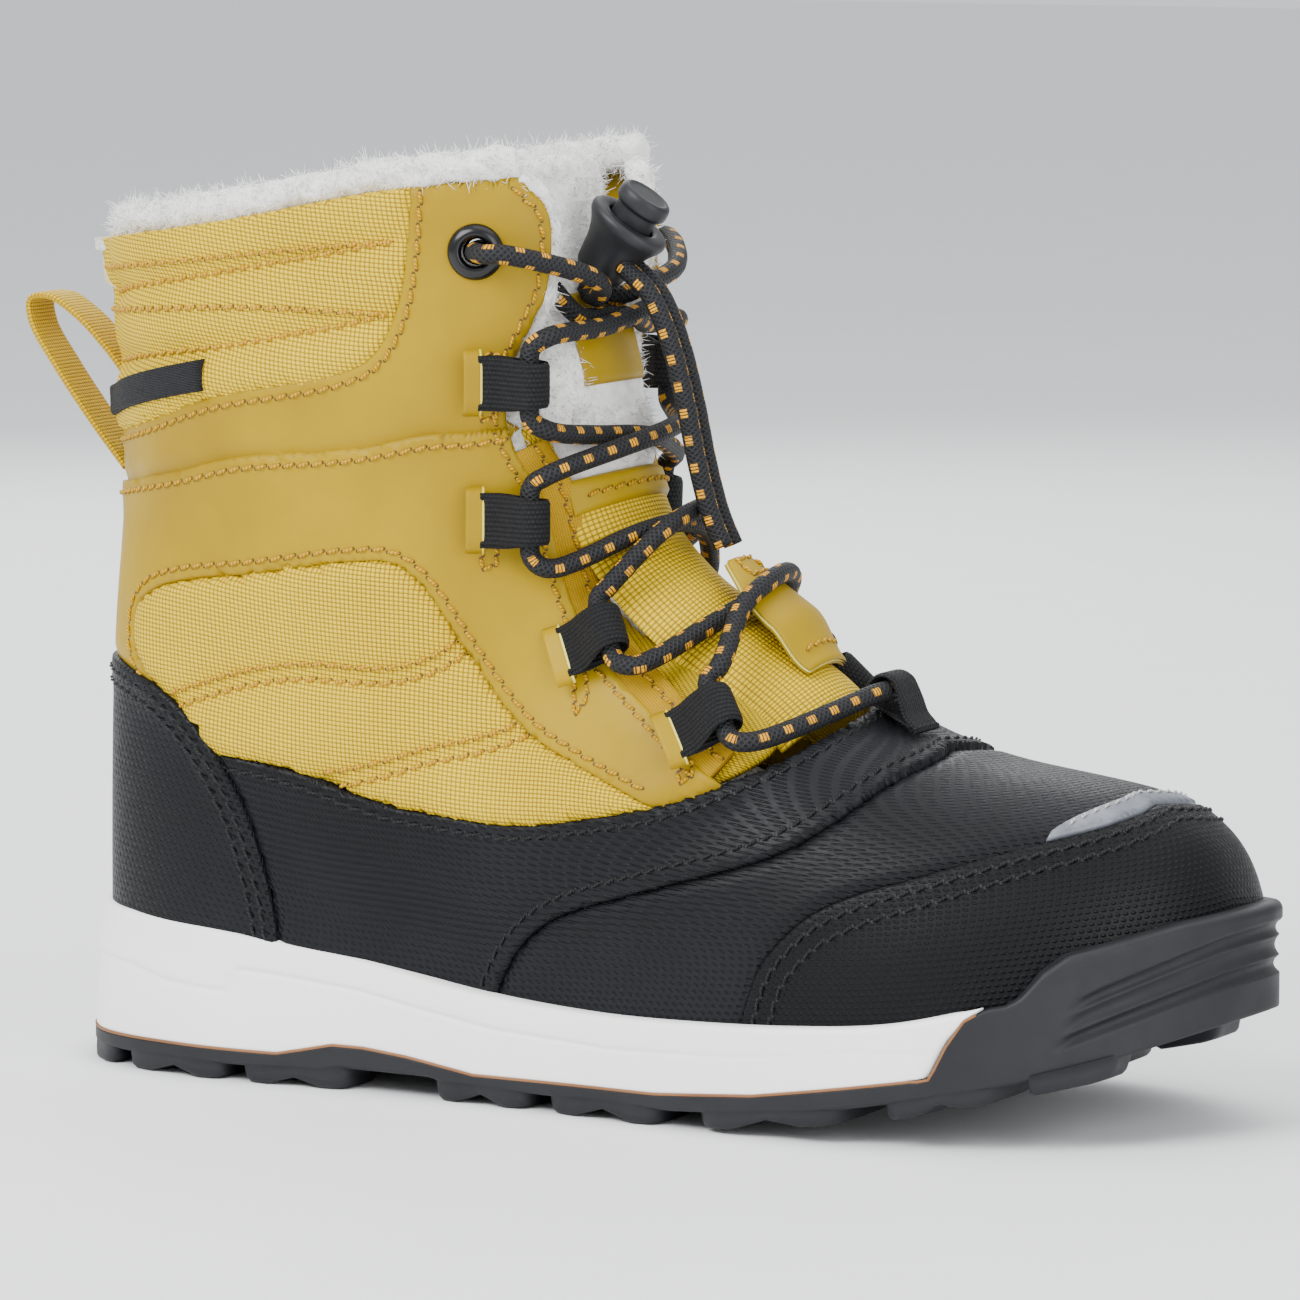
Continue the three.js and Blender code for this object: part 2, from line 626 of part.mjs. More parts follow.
function eyeletFrame(side) {
  const [u, t] = [side * eyeletSpot[0], eyeletSpot[1]];
  return skinFrame(u, t, skin(u, 1).add(new THREE.Vector3(0, 0, 5)));
}

function addUpper() {
  addPanel('toe_cap', outlines.toeCap, panelLayer, 'coatedBlack');
  addPanel('vamp', outlines.vamp, panelLayer, 'coatedBlack');
  addPanel('saddle_guard', outlines.saddleGuard, panelLayer, 'coatedBlack');
  addPanel('heel_guard', outlines.heelGuard, panelLayer, 'coatedBlack');
  addPanel('reflective_strip', outlines.reflectiveStrip, patchLayer, 'reflective');
  addPanel('toe_puff', outlines.toePuff, stiffenerLayer, 'board');
  addPanel('heel_counter', outlines.heelCounter, stiffenerLayer, 'board');
  addPanel('collar_fabric', outlines.collarFabric, panelLayer, 'wovenYellow');
  addPanel('collar_foam', outlines.collarFoam, stiffenerLayer, 'foam');
  addPanel('side_tag', outlines.sideTag, patchLayer, 'webbing');
  for (const [side, name] of [[1, 'lateral'], [-1, 'medial']]) {
    const onSide = (outline) => (side > 0 ? outline : mirrored(outline));
    addPanel(`quarter_fabric_${name}`, onSide(outlines.quarterFabric), panelLayer, 'wovenYellow');
    addPanel(`quarter_overlay_${name}`, onSide(outlines.quarterOverlay), panelLayer, 'smoothYellow');
    addPanel(`lining_${name}`, onSide(outlines.lining), liningLayer, 'fleece');
    const hole = new THREE.CylinderGeometry(barrelRadius + gap, barrelRadius + gap, 12, 16);
    hole.rotateX(Math.PI / 2);
    hole.applyMatrix4(eyeletFrame(side));
    const band = panelSolid(onSide(outlines.collarBand), panelLayer).subtract(toSolid(hole));
    add(`collar_band_${name}`, fromSolid(band), 'smoothYellow');
    const beside = tongueHalfWidth + 2 * gap;
    const half = side > 0 ? box([0, -60, 0], [200, -beside, 200]) : box([0, beside, 0], [200, 60, 200]);
    const gusset = panelSolid(onSide(outlines.gusset), stiffenerLayer).intersect(half);
    add(`gusset_${name}`, fromSolid(gusset), 'wovenYellow');
  }
}

// the fleece roll along the collar's edge
function addCollarRoll() {
  const radius = 2.8;
  const points = [];
  const steps = 26;
  for (let k = 0; k <= steps; k += 1) {
    const u = 0.47 + (1.06 * k) / steps;
    const p = skin(u, 1, -3.2);
    points.push(new THREE.Vector3(p.x, p.y, p.z + radius + gap + 0.6));
  }
  const path = new THREE.CatmullRomCurve3(points);
  add('collar_roll', tube(path, radius, 8, 26), 'fleece');
}

function circle(radius, sides) {
  const shape = new THREE.Shape();
  for (let k = 0; k < sides; k += 1) {
    const a = (2 * Math.PI * k) / sides;
    const [x, y] = [radius * Math.cos(a), radius * Math.sin(a)];
    if (k === 0) shape.moveTo(x, y);
    else shape.lineTo(x, y);
  }
  return shape;
}

function tube(path, radius, sides, steps) {
  return new THREE.ExtrudeGeometry(circle(radius, sides), { extrudePath: path, steps });
}

// ---------------------------------------------------------------- eyelets
function ringProfile(inner, outer, low, high) {
  return [[inner, low], [outer, low], [outer, high], [inner, high], [inner, low]]
    .map(([r, z]) => new THREE.Vector2(r, z));
}

function addEyelets() {
  const bore = eyeletBore / 2;
  const inside = stiffenerLayer[0];
  const profile = [[bore, inside - 1], [barrelRadius, inside - 1], [barrelRadius, 0.45],
    [eyeletFlange / 2, 0.45], [eyeletFlange / 2 - 0.4, 1.2], [bore + 0.5, 1.6], [bore, 1.2],
    [bore, inside - 1]].map(([r, z]) => new THREE.Vector2(r, z));
  for (const [side, name] of [[1, 'lateral'], [-1, 'medial']]) {
    const parts = [
      [`eyelet_${name}`, new THREE.LatheGeometry(profile, 16), 'plastic'],
      [`eyelet_washer_${name}`, new THREE.LatheGeometry(
        ringProfile(barrelRadius + gap, eyeletFlange / 2, inside, inside + 0.8), 16), 'steel'],
    ];
    for (const [part, geometry, finish] of parts) {
      geometry.rotateX(Math.PI / 2);
      geometry.applyMatrix4(eyeletFrame(side));
      add(part, fromSolid(toSolid(geometry)), finish);
    }
  }
}

// ---------------------------------------------------------------- lace loops
// each loop's tunnel runs between two chart points; its tab lies on the eyestay behind it
const tunnels = [
  [[0.447, 0.818], [0.451, 0.867]],
  [[0.434, 0.676], [0.433, 0.744]],
  [[0.32, 0.496], [0.295, 0.557]],
  [[0.265, 0.365], [0.245, 0.409]],
];
const throatTunnel = [[0.045, 0.33], [-0.045, 0.33]];
const laceRadius = laceDiameter / 2;
const tunnelRadius = laceRadius + 0.8;
const tabLift = 0.8;
const tunnelOut = tabLift + webbingThickness + tunnelRadius;
const tabLength = 9;

// x from the tab to the throat, y along the tunnel, z out; the origin is on the skin
function tunnelFrame([from, to], side) {
  const low = skin(side * from[0], from[1]);
  const high = skin(side * to[0], to[1]);
  const along = high.clone().sub(low).normalize();
  const u = side * (from[0] + to[0]) / 2;
  const t = (from[1] + to[1]) / 2;
  const p = skin(u, t);
  const out = skinNormal(p.toArray(), t);
  out.addScaledVector(along, -out.dot(along)).normalize();
  const across = new THREE.Vector3().crossVectors(along, out);
  if (across.dot(new THREE.Vector3(0.3, side, 0.3)) < 0) across.negate();
  return { centre: p, along, out, across };
}

function loopGeometry(frame) {
  const outer = tunnelRadius + webbingThickness;
  const shape = new THREE.Shape();
  shape.moveTo(-tabLength, tabLift);
  shape.lineTo(0, tabLift);
  shape.absarc(0, tunnelOut, outer, -Math.PI / 2, Math.PI * 0.62, false);
  shape.lineTo(-tabLength * 0.62, tabLift + webbingThickness * 1.4);
  shape.lineTo(-tabLength, tabLift + webbingThickness);
  shape.closePath();
  const hole = new THREE.Path();
  hole.absarc(0, tunnelOut, tunnelRadius, 0, 2 * Math.PI, true);
  shape.holes.push(hole);
  const geometry = new THREE.ExtrudeGeometry(shape, {
    depth: loopWidth,
    bevelEnabled: false,
    curveSegments: 5,
  });
  geometry.translate(0, 0, -loopWidth / 2);
  const third = new THREE.Vector3().crossVectors(frame.across, frame.out);
  const place = new THREE.Matrix4().makeBasis(frame.across, frame.out, third);
  place.setPosition(frame.centre);
  return geometry.applyMatrix4(place);
}

function throatFrame() {
  const frame = tunnelFrame(throatTunnel, 1);
  if (frame.across.x > 0) frame.across.negate();
  return frame;
}

function addLoops() {
  for (const [side, name] of [[1, 'lateral'], [-1, 'medial']]) {
    tunnels.forEach((tunnel, k) => {
      const frame = tunnelFrame(tunnel, side);
      add(`lace_loop_${name}_${k + 1}`, loopGeometry(frame), 'webbing');
    });
  }
  add('lace_loop_throat', loopGeometry(throatFrame()), 'webbing');
}

// ---------------------------------------------------------------- tongue
// the tongue's middle line from the throat's base to its top, as x and z
const tongueLine = [[128.5, 76.3], [122, 82], [112, 88.5], [103, 94.5], [94, 101], [87, 108], [82.5, 117],
  [79.5, 128], [77, 140], [74, 150], [70.8, 160], [69.8, 170], [69, 179]];

function tongueCurve() {
  return new THREE.CatmullRomCurve3(tongueLine.map(([x, z]) => {
    const [rx, , rz] = toReal(x, 0, z);
    return new THREE.Vector3(rx, 0, rz);
  }));
}

// a point on the tongue: its share of the length, its distance from the middle and its height
function tongueSpot(s, y, lift) {
  const line = tongueCurve();
  const tangent = line.getTangentAt(s);
  const out = new THREE.Vector3(tangent.z, 0, -tangent.x);
  const crown = 10 - 4 * THREE.MathUtils.smoothstep(s, 0.2, 0.6);
  return line.getPointAt(s).addScaledVector(out, lift - crown * (y / tongueHalfWidth) ** 2).setY(y);
}

// the tongue's pieces share these steps along it, so that their faces stay parallel
const tongueSteps = 14;

// a sheet between two steps; its half width and its two depths can change along it
function tongueSheet(first, last, halfWidth, outer, inner, perStep = 1) {
  const across = 6;
  const wide = across + 1;
  const steps = (last - first) * perStep;
  const valueAt = (value, s) => (typeof value === 'function' ? value(s) : value);
  const vertices = [];
  for (const depth of [inner, outer]) {
    for (let k = 0; k <= steps; k += 1) {
      const share = k / steps;
      const s = (first + (last - first) * share) / tongueSteps;
      for (let i = 0; i <= across; i += 1) {
        const y = valueAt(halfWidth, share) * (-1 + (2 * i) / across);
        vertices.push(tongueSpot(s, y, valueAt(depth, share)).toArray());
      }
    }
  }
  const faces = [];
  const top = wide * (steps + 1);
  const at = (i, k) => k * wide + i;
  const quad = (a, b, c, d) => faces.push([a, b, c], [a, c, d]);
  for (let k = 0; k < steps; k += 1) {
    for (let i = 0; i < across; i += 1) {
      quad(at(i, k), at(i, k + 1), at(i + 1, k + 1), at(i + 1, k));
      quad(top + at(i, k), top + at(i + 1, k), top + at(i + 1, k + 1), top + at(i, k + 1));
    }
    quad(at(0, k), top + at(0, k), top + at(0, k + 1), at(0, k + 1));
    quad(at(across, k), at(across, k + 1), top + at(across, k + 1), top + at(across, k));
  }
  for (let i = 0; i < across; i += 1) {
    quad(at(i, 0), at(i + 1, 0), top + at(i + 1, 0), top + at(i, 0));
    quad(at(i, steps), top + at(i, steps), top + at(i + 1, steps), at(i + 1, steps));
  }
  return fromSolid(orient({ vertices, faces }));
}

const keeperThickness = 2;
const keeperRise = 4.4;          // how far the keeper's free end stands off the tongue

function addTongue() {
  const half = tongueHalfWidth;
  add('tongue_shell', tongueSheet(0, 13, half, 0, -tongueThickness), 'wovenYellow');
  const padOuter = -tongueThickness - gap;
  add('tongue_lining', tongueSheet(1, 14, half, padOuter, padOuter - tonguePadThickness), 'fleece');
  add('tongue_patch', tongueSheet(9, 11, 12, gap + 1, gap), 'smoothYellow');
  const rise = (s) => 2 * gap + keeperRise * THREE.MathUtils.smoothstep(s, 0, 0.4);
  const leaf = (s) => 4.5 + 5.5 * Math.sin(Math.PI * (1 - s) * 0.8);
  add('lace_keeper', tongueSheet(1, 4, leaf, (s) => rise(s) + keeperThickness, rise, 2), 'smoothYellow');
}

// ---------------------------------------------------------------- lace
// One elastic lace, in two strands that start together in the throat's loop.
// Each strand zigzags to its eyelet, passes out through it and ends at the toggle.
const crossings = [
  { at: 0.735, low: 3.9, high: 8.1 },
  { at: 0.555, low: 2.6, high: 6.8 },
  { at: 0.395, low: 3.9, high: 8.1 },
  { at: 0.215, low: 2.5, high: 9.2 },
];

const spot = (x, y, z) => new THREE.Vector3(...toReal(x, 0, z)).setY(y);

function strandPath(side) {
  const points = [];
  const throat = throatFrame();
  const mouth = throat.centre.clone().addScaledVector(throat.out, tunnelOut);
  points.push(mouth.clone().setY(-side * 0.2));
  points.push(mouth.clone().setY(-side * (loopWidth / 2 + 1)));
  let hand = side;
  for (let k = 3; k >= 0; k -= 1) {
    const frame = tunnelFrame(tunnels[k], hand);
    const centre = frame.centre.clone().addScaledVector(frame.out, tunnelOut);
    const reach = loopWidth / 2 + 1.4;
    for (const [along, across] of [[-reach - 2.2, 3.2], [-reach, 0], [0, 0], [reach, 0], [reach + 2.2, 3.2]]) {
      points.push(centre.clone().addScaledVector(frame.along, along).addScaledVector(frame.across, across));
    }
    const { at, low, high } = crossings[k];
    const rise = (k % 2 === 1) === (side > 0) ? high : low;
    for (const y of [13, 5, -5, -13]) points.push(tongueSpot(at - 0.001 * y, -hand * y, rise));
    hand = -hand;
  }
  const eyelet = eyeletFrame(hand);
  const inEyelet = (z, x) => new THREE.Vector3(x, 0, z).applyMatrix4(eyelet);
  points.push(skin(hand * 0.4, 0.925, -5), skin(hand * 0.49, 0.94, -6.4), inEyelet(-6.5, hand));
  points.push(inEyelet(-3.8, 0), inEyelet(1.2, 0), inEyelet(4.6, hand * 2), inEyelet(5.2, hand * 6));
  points.push(...strandEnds[hand]);
  return points;
}

// the last points of each strand, from the eyelet's side to the toggle
const strandEnds = {
  1: [spot(81, -18.5, 156), spot(80.4, -13, 153.4), spot(77.6, -10.2, 151.6), spot(75.2, -9.3, 152.8),
    spot(76.5, -9.3, 154.7)],
  '-1': [spot(81, 16.5, 156), spot(81, 4, 153.4), spot(77.8, -3, 151.4), spot(75.2, -4.7, 152.8),
    spot(76.5, -4.7, 154.7)],
};

function addLace() {
  for (const [side, name] of [[1, 'lateral'], [-1, 'medial']]) {
    const path = new THREE.CatmullRomCurve3(strandPath(side), false, 'centripetal');
    add(`lace_${name}`, tube(path, laceRadius, 8, 66), 'cord');
  }
}

// the two tails' middle line, from the toggle down to the keeper
const tailLine = [[85.1, -7, 155.7], [87.8, -6.8, 153.2], [90.3, -6.4, 148.6], [92.8, -5.8, 141.5],
  [95, -4.8, 131.5], [96.8, -3.6, 120.5], [98.9, -2, 110.5], [101.1, -1, 104.6]];
const tailApart = laceRadius + 0.2;

function addTails() {
  for (const [side, name] of [[1, 'lateral'], [-1, 'medial']]) {
    const points = tailLine.map(([x, y, z]) => spot(x, y - side * tailApart, z));
    const path = new THREE.CatmullRomCurve3(points, false, 'centripetal');
    add(`lace_tail_${name}`, tube(path, laceRadius, 8, 12), 'cord');
  }
}

// ---------------------------------------------------------------- toggle
const toggleCentre = [79.8, -7, 161];
const toggleLean = THREE.MathUtils.degToRad(36);
const toggleFlat = 0.82;         // the toggle is this much narrower across the boot
const plungerRadius = 4.6;

// z along the toggle's axis, x to the front; the origin is on its axis at the cord hole's height
function placeToggle(geometry) {
  const axis = new THREE.Vector3(Math.sin(toggleLean), 0, Math.cos(toggleLean));
  const forward = new THREE.Vector3(Math.cos(toggleLean), 0, -Math.sin(toggleLean));
  const place = new THREE.Matrix4().makeBasis(forward, new THREE.Vector3(0, 1, 0), axis);
  place.setPosition(spot(...toggleCentre));
  geometry.rotateX(Math.PI / 2);
  geometry.scale(1, toggleFlat, 1);
  return geometry.applyMatrix4(place);
}

function lathe(profile, sides = 16) {
  const points = [...profile, profile[0]].map(([r, z]) => new THREE.Vector2(r, z));
  return new THREE.LatheGeometry(points, sides);
}

function addToggle() {
  const bore = plungerRadius + gap;
  const housing = lathe([[0, -6.4], [4.4, -6.4], [5.2, -5.4], [5.8, -1], [7, 2.6], [8.3, 4.6], [8.3, 6],
    [7.6, 6.6], [bore, 6.6], [bore, -4.6], [0, -4.6]]);
  add('toggle_housing', fromSolid(toSolid(placeToggle(housing))), 'plastic');
  const seat = -1.6;
  const cap = 6.6 + buttonTravel + gap;
  const button = lathe([[0, seat], [plungerRadius, seat], [plungerRadius, cap], [5.4, cap],
    [5.4, cap + 2.6], [4.9, cap + 3.2], [0, cap + 3.2]]);
  add('toggle_button', fromSolid(toSolid(placeToggle(button))), 'plastic');
  const wire = 0.35;
  const [low, high] = [-4.6 + gap + wire, seat - gap - wire];
  const turns = [];
  for (let k = 0; k <= 24; k += 1) {
    const a = (k / 24) * 2.5 * 2 * Math.PI;
    turns.push(new THREE.Vector3(2.6 * Math.cos(a), low + ((high - low) * k) / 24, 2.6 * Math.sin(a)));
  }
  const coil = tube(new THREE.CatmullRomCurve3(turns), wire, 4, 30);
  add('toggle_spring', fromSolid(toSolid(placeToggle(coil))), 'steel');
}

// ---------------------------------------------------------------- pull loop
const pullThickness = 1.4;
const pullLine = [[-1.2, -10], [-8.5, -1.5], [-17, 9.5], [-22.5, 18], [-22.8, 22.5], [-18.5, 23.2],
  [-12, 19.5], [-6, 14], [-1.2, 8.6]];

function addPullLoop() {
  const base = skin(1, 0.74);
  const line = new THREE.CatmullRomCurve3(
    pullLine.map(([x, z]) => new THREE.Vector3(base.x + x, 0, base.z + z)),
    false,
    'centripetal',
  );
  const samples = 22;
  const outside = [];
  const inside = [];
  for (let k = 0; k <= samples; k += 1) {
    const p = line.getPointAt(k / samples);
    const tangent = line.getTangentAt(k / samples);
    const half = pullThickness / 2;
    outside.push(new THREE.Vector2(p.x - tangent.z * half, p.z + tangent.x * half));
    inside.push(new THREE.Vector2(p.x + tangent.z * half, p.z - tangent.x * half));
  }
  const shape = new THREE.Shape([...outside, ...inside.reverse()]);
  const geometry = new THREE.ExtrudeGeometry(shape, { depth: pullLoopWidth, bevelEnabled: false });
  geometry.rotateX(Math.PI / 2);
  geometry.translate(0, pullLoopWidth / 2, 0);
  add('pull_loop', geometry, 'wovenYellow');
}

addSole();
addUpper();
addCollarRoll();
addEyelets();
addLoops();
addTongue();
addLace();
addTails();
addToggle();
addPullLoop();

export default boot;
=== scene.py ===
"""The looks of an insulated winter hiking boot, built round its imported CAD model.

Lengths in this script are millimetres until a mesh is made, and Blender's are metres.
"""
import math

import bmesh
import bpy
import numpy as np
from mathutils import Matrix, Vector
from mathutils.geometry import delaunay_2d_cdt


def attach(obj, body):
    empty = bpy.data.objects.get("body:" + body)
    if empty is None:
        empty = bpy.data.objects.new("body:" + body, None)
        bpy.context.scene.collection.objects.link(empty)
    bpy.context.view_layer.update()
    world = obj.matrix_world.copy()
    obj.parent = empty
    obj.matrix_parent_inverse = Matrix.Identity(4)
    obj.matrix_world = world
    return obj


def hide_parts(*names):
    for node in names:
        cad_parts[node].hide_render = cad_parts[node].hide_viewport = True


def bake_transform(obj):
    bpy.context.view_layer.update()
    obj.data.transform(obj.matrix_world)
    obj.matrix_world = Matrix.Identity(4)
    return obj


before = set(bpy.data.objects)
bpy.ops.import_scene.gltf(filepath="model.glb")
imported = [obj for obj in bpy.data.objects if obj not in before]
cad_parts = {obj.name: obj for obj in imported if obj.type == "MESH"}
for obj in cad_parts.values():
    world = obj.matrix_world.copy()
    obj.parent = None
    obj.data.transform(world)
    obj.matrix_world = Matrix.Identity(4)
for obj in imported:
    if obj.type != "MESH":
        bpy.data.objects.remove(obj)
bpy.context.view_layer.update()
MM = 0.001
UV_SCALE = 100.0  # millimetres to one unit of a UV map


# ------------------------------------------------------------------ camera, light and floor
def add_camera():
    """The photograph's view: a long lens, from the boot's outer front."""
    azimuth, elevation = math.radians(27), math.radians(6.5)
    back = Vector((math.sin(azimuth) * math.cos(elevation),
                   -math.cos(azimuth) * math.cos(elevation), math.sin(elevation)))
    right = Vector((math.cos(azimuth), math.sin(azimuth), 0))
    up = back.cross(right)
    distance = 1.5
    focus = Vector((0.095, 0, 0.085))
    left, down = 0.0099, 0.00076
    place = focus + back * distance - right * left - up * down
    data = bpy.data.cameras.new("camera")
    data.sensor_width = 36
    data.lens = 218.1
    data.clip_end = 20
    camera = bpy.data.objects.new("camera", data)
    turn = Matrix((right, up, back)).transposed()
    camera.matrix_world = Matrix.Translation(place) @ turn.to_4x4()
    bpy.context.scene.collection.objects.link(camera)
    bpy.context.scene.camera = camera


def add_light(name, place, aim, size, power):
    data = bpy.data.lights.new(name, "AREA")
    data.shape = "RECTANGLE"
    data.size, data.size_y = size
    data.energy = power
    light = bpy.data.objects.new(name, data)
    light.location = place
    light.rotation_mode = "QUATERNION"
    light.rotation_quaternion = (Vector(aim) - Vector(place)).to_track_quat("-Z", "Y")
    bpy.context.scene.collection.objects.link(light)


def add_lights():
    """A soft studio: a large key light from the left, weak fill, and a pale sky."""
    middle = (0.09, 0, 0.09)
    add_light("key_light", (-0.35, -1.0, 1.0), middle, (0.9, 0.7), 25)
    add_light("top_light", (0.25, 0.15, 1.15), middle, (1.3, 1.1), 9)
    add_light("fill_light", (1.15, -0.65, 0.45), middle, (0.8, 0.9), 10)
    add_light("rear_light", (-0.6, 0.9, 0.7), middle, (0.9, 0.9), 8)
    world = bpy.data.worlds.new("studio")
    world.use_nodes = True
    background = world.node_tree.nodes["Background"]
    background.inputs["Color"].default_value = (0.96, 0.98, 1.0, 1)
    background.inputs["Strength"].default_value = 0.95
    bpy.context.scene.world = world


# ------------------------------------------------------------------ node helpers
class Nodes:
    """Short names for building a material's node tree."""

    def __init__(self, name):
        self.material = bpy.data.materials.new(name)
        self.material.use_nodes = True
        self.tree = self.material.node_tree
        self.shader = self.tree.nodes["Principled BSDF"]
        self.uv = None

    def node(self, kind, **settings):
        made = self.tree.nodes.new(kind)
        for key, value in settings.items():
            setattr(made, key, value)
        return made

    def link(self, source, target):
        self.tree.links.new(source, target)

    def put(self, socket, value):
        if isinstance(value, bpy.types.NodeSocket):
            self.link(value, socket)
        else:
            socket.default_value = value

    def maths(self, operation, *values, clamp=False):
        made = self.node("ShaderNodeMath", operation=operation, use_clamp=clamp)
        for socket, value in zip(made.inputs, values):
            self.put(socket, value)
        return made.outputs[0]

    def coordinates(self):
        """Millimetres along and up the piece, from its UV map."""
        if self.uv is None:
            source = self.node("ShaderNodeUVMap", uv_map="mm")
            split = self.node("ShaderNodeSeparateXYZ")
            self.link(source.outputs[0], split.inputs[0])
            self.uv = [self.maths("MULTIPLY", split.outputs[k], UV_SCALE) for k in (0, 1)]
        return self.uv

    def place(self):
        return self.node("ShaderNodeTexCoord").outputs["Object"]

    def noise(self, scale, detail=3.0, roughness=0.55, vector=None):
        made = self.node("ShaderNodeTexNoise")
        made.inputs["Scale"].default_value = scale
        made.inputs["Detail"].default_value = detail
        made.inputs["Roughness"].default_value = roughness
        self.link(vector or self.place(), made.inputs["Vector"])
        return made.outputs["Fac"]

    def ramp(self, value, low, high, start=0.0, end=1.0):
        made = self.node("ShaderNodeMapRange", interpolation_type="SMOOTHSTEP")
        self.put(made.inputs["Value"], value)
        for name, number in (("From Min", low), ("From Max", high), ("To Min", start), ("To Max", end)):
            made.inputs[name].default_value = number
        return made.outputs["Result"]

    def mix(self, share, one, two):
        made = self.node("ShaderNodeMix", data_type="RGBA")
        self.put(made.inputs[0], share)
        self.put(made.inputs[6], one)
        self.put(made.inputs[7], two)
        return made.outputs[2]

    def bump(self, height, distance, strength=1.0, normal=None):
        made = self.node("ShaderNodeBump")
        made.inputs["Strength"].default_value = strength
        made.inputs["Distance"].default_value = distance * MM
        self.link(height, made.inputs["Height"])
        if normal:
            self.link(normal, made.inputs["Normal"])
        return made.outputs[0]

    def finish(self, colour, roughness, normal=None, **values):
        self.put(self.shader.inputs["Base Color"], colour)
        self.put(self.shader.inputs["Roughness"], roughness)
        if normal:
            self.link(normal, self.shader.inputs["Normal"])
        for name, value in values.items():
            self.shader.inputs[name.replace("_", " ")].default_value = value
        return self.material


def srgb(red, green, blue):
    """A screen colour, 0 to 255, as Blender's linear colour."""
    def linear(value):
        value /= 255
        return value / 12.92 if value <= 0.04045 else ((value + 0.055) / 1.055) ** 2.4
    return (linear(red), linear(green), linear(blue), 1.0)


# ------------------------------------------------------------------ materials
def smooth_leather(name, colour, dark):
    """Coated leather: a fine pebble grain, soft creases and a slight mottling."""
    n = Nodes(name)
    mottle = n.ramp(n.noise(22, 4), 0.3, 0.7)
    fine = n.noise(900, 2)
    tone = n.mix(mottle, dark, colour)
    grain = n.bump(fine, 0.05, 0.5)
    crease = n.bump(n.noise(60, 5, 0.65), 0.5, 0.18, grain)
    roughness = n.ramp(n.noise(140, 3), 0.2, 0.8, 0.40, 0.52)
    return n.finish(tone, roughness, crease, Specular_IOR_Level=0.18)


def woven(name, colour, dark, pitch, depth=0.35, squash=1.0):
    """A plain weave: threads that pass over and under each other in both directions, darker where they dip,
    as painted shade.
    """
    n = Nodes(name)
    along, up = n.coordinates()
    x = n.maths("DIVIDE", along, pitch)
    y = n.maths("DIVIDE", up, pitch * squash)
    column, row = n.maths("FLOOR", x), n.maths("FLOOR", y)
    odd = n.maths("PINGPONG", n.maths("ADD", column, row), 1.0)
    arch_x = n.maths("SINE", n.maths("MULTIPLY", n.maths("FRACT", x), math.pi))
    arch_y = n.maths("SINE", n.maths("MULTIPLY", n.maths("FRACT", y), math.pi))
    flat_x, flat_y = (n.maths("POWER", arch, 0.45) for arch in (arch_x, arch_y))
    warp = n.maths("MULTIPLY", flat_x, n.ramp(arch_y, 0.0, 1.0, 0.35, 1.0))
    weft = n.maths("MULTIPLY", flat_y, n.ramp(arch_x, 0.0, 1.0, 0.35, 1.0))
    over = n.maths("MULTIPLY", warp, odd)
    under = n.maths("MULTIPLY", weft, n.maths("SUBTRACT", 1.0, odd))
    height = n.maths("ADD", over, under)
    fibre = n.noise(1500, 2)
    mottle = n.maths("MULTIPLY", n.noise(30, 4), 0.35)
    # painted shade: where the threads dip the colour goes towards the dark one; the noise mottle is the
    # cloth's own tone
    share = n.maths("ADD", n.ramp(height, 0.15, 0.85, 0.0, 0.75), mottle, clamp=True)
    lumpy = n.maths("ADD", height, n.maths("MULTIPLY", fibre, 0.25))
    return n.finish(n.mix(share, dark, colour), n.ramp(height, 0.2, 1.0, 0.72, 0.5),
                    n.bump(lumpy, depth, 1.0), Specular_IOR_Level=0.22)


def embossed(name, colour, light, pitch, raised):
    """Coated leather with rows of small oval dots, pressed in or standing proud; its low places are darkened
    with painted shade.
    """
    n = Nodes(name)
    along, up = n.coordinates()
    wide, high = pitch
    row = n.maths("FLOOR", n.maths("DIVIDE", up, high))
    shifted = n.maths("ADD", n.maths("DIVIDE", along, wide), n.maths("MULTIPLY", row, 0.5))
    x = n.maths("SUBTRACT", n.maths("FRACT", shifted), 0.5)
    y = n.maths("SUBTRACT", n.maths("FRACT", n.maths("DIVIDE", up, high)), 0.5)
    reach = n.maths("SQRT", n.maths("ADD", n.maths("POWER", n.maths("MULTIPLY", x, 2.1), 2.0),
                                    n.maths("POWER", n.maths("MULTIPLY", y, 2.3), 2.0)))
    dot = n.ramp(reach, 0.3, 0.8, 1.0, 0.0)
    grain = n.noise(1100, 2)
    mottle = n.ramp(n.noise(26, 4), 0.35, 0.7)
    lift = dot if raised else n.maths("SUBTRACT", 1.0, dot)
    height = n.maths("ADD", lift, n.maths("MULTIPLY", grain, 0.18))
    base = n.mix(mottle, colour, light)
    # painted shade: the low places (the pressed dots, or the gaps between raised dots) are mixed towards near
    # black
    tone = n.mix(n.maths("MULTIPLY", n.maths("SUBTRACT", 1.0, lift), 0.75), base, srgb(4, 4, 6))
    return n.finish(tone, n.ramp(grain, 0.3, 0.8, 0.42, 0.56), n.bump(height, 0.26, 1.0),
                    Specular_IOR_Level=0.18)


def plain_rubber(name, colour, light, roughness=(0.55, 0.7), grain=700, depth=0.06):
    """Moulded rubber or foam: a fine sand finish with faint marks."""
    n = Nodes(name)
    mottle = n.ramp(n.noise(35, 5, 0.65), 0.3, 0.72)
    fine = n.noise(grain, 3)
    rough = n.ramp(n.noise(90, 3), 0.25, 0.75, *roughness)
    return n.finish(n.mix(mottle, colour, light), rough, n.bump(fine, depth, 0.8),
                    Specular_IOR_Level=0.4)


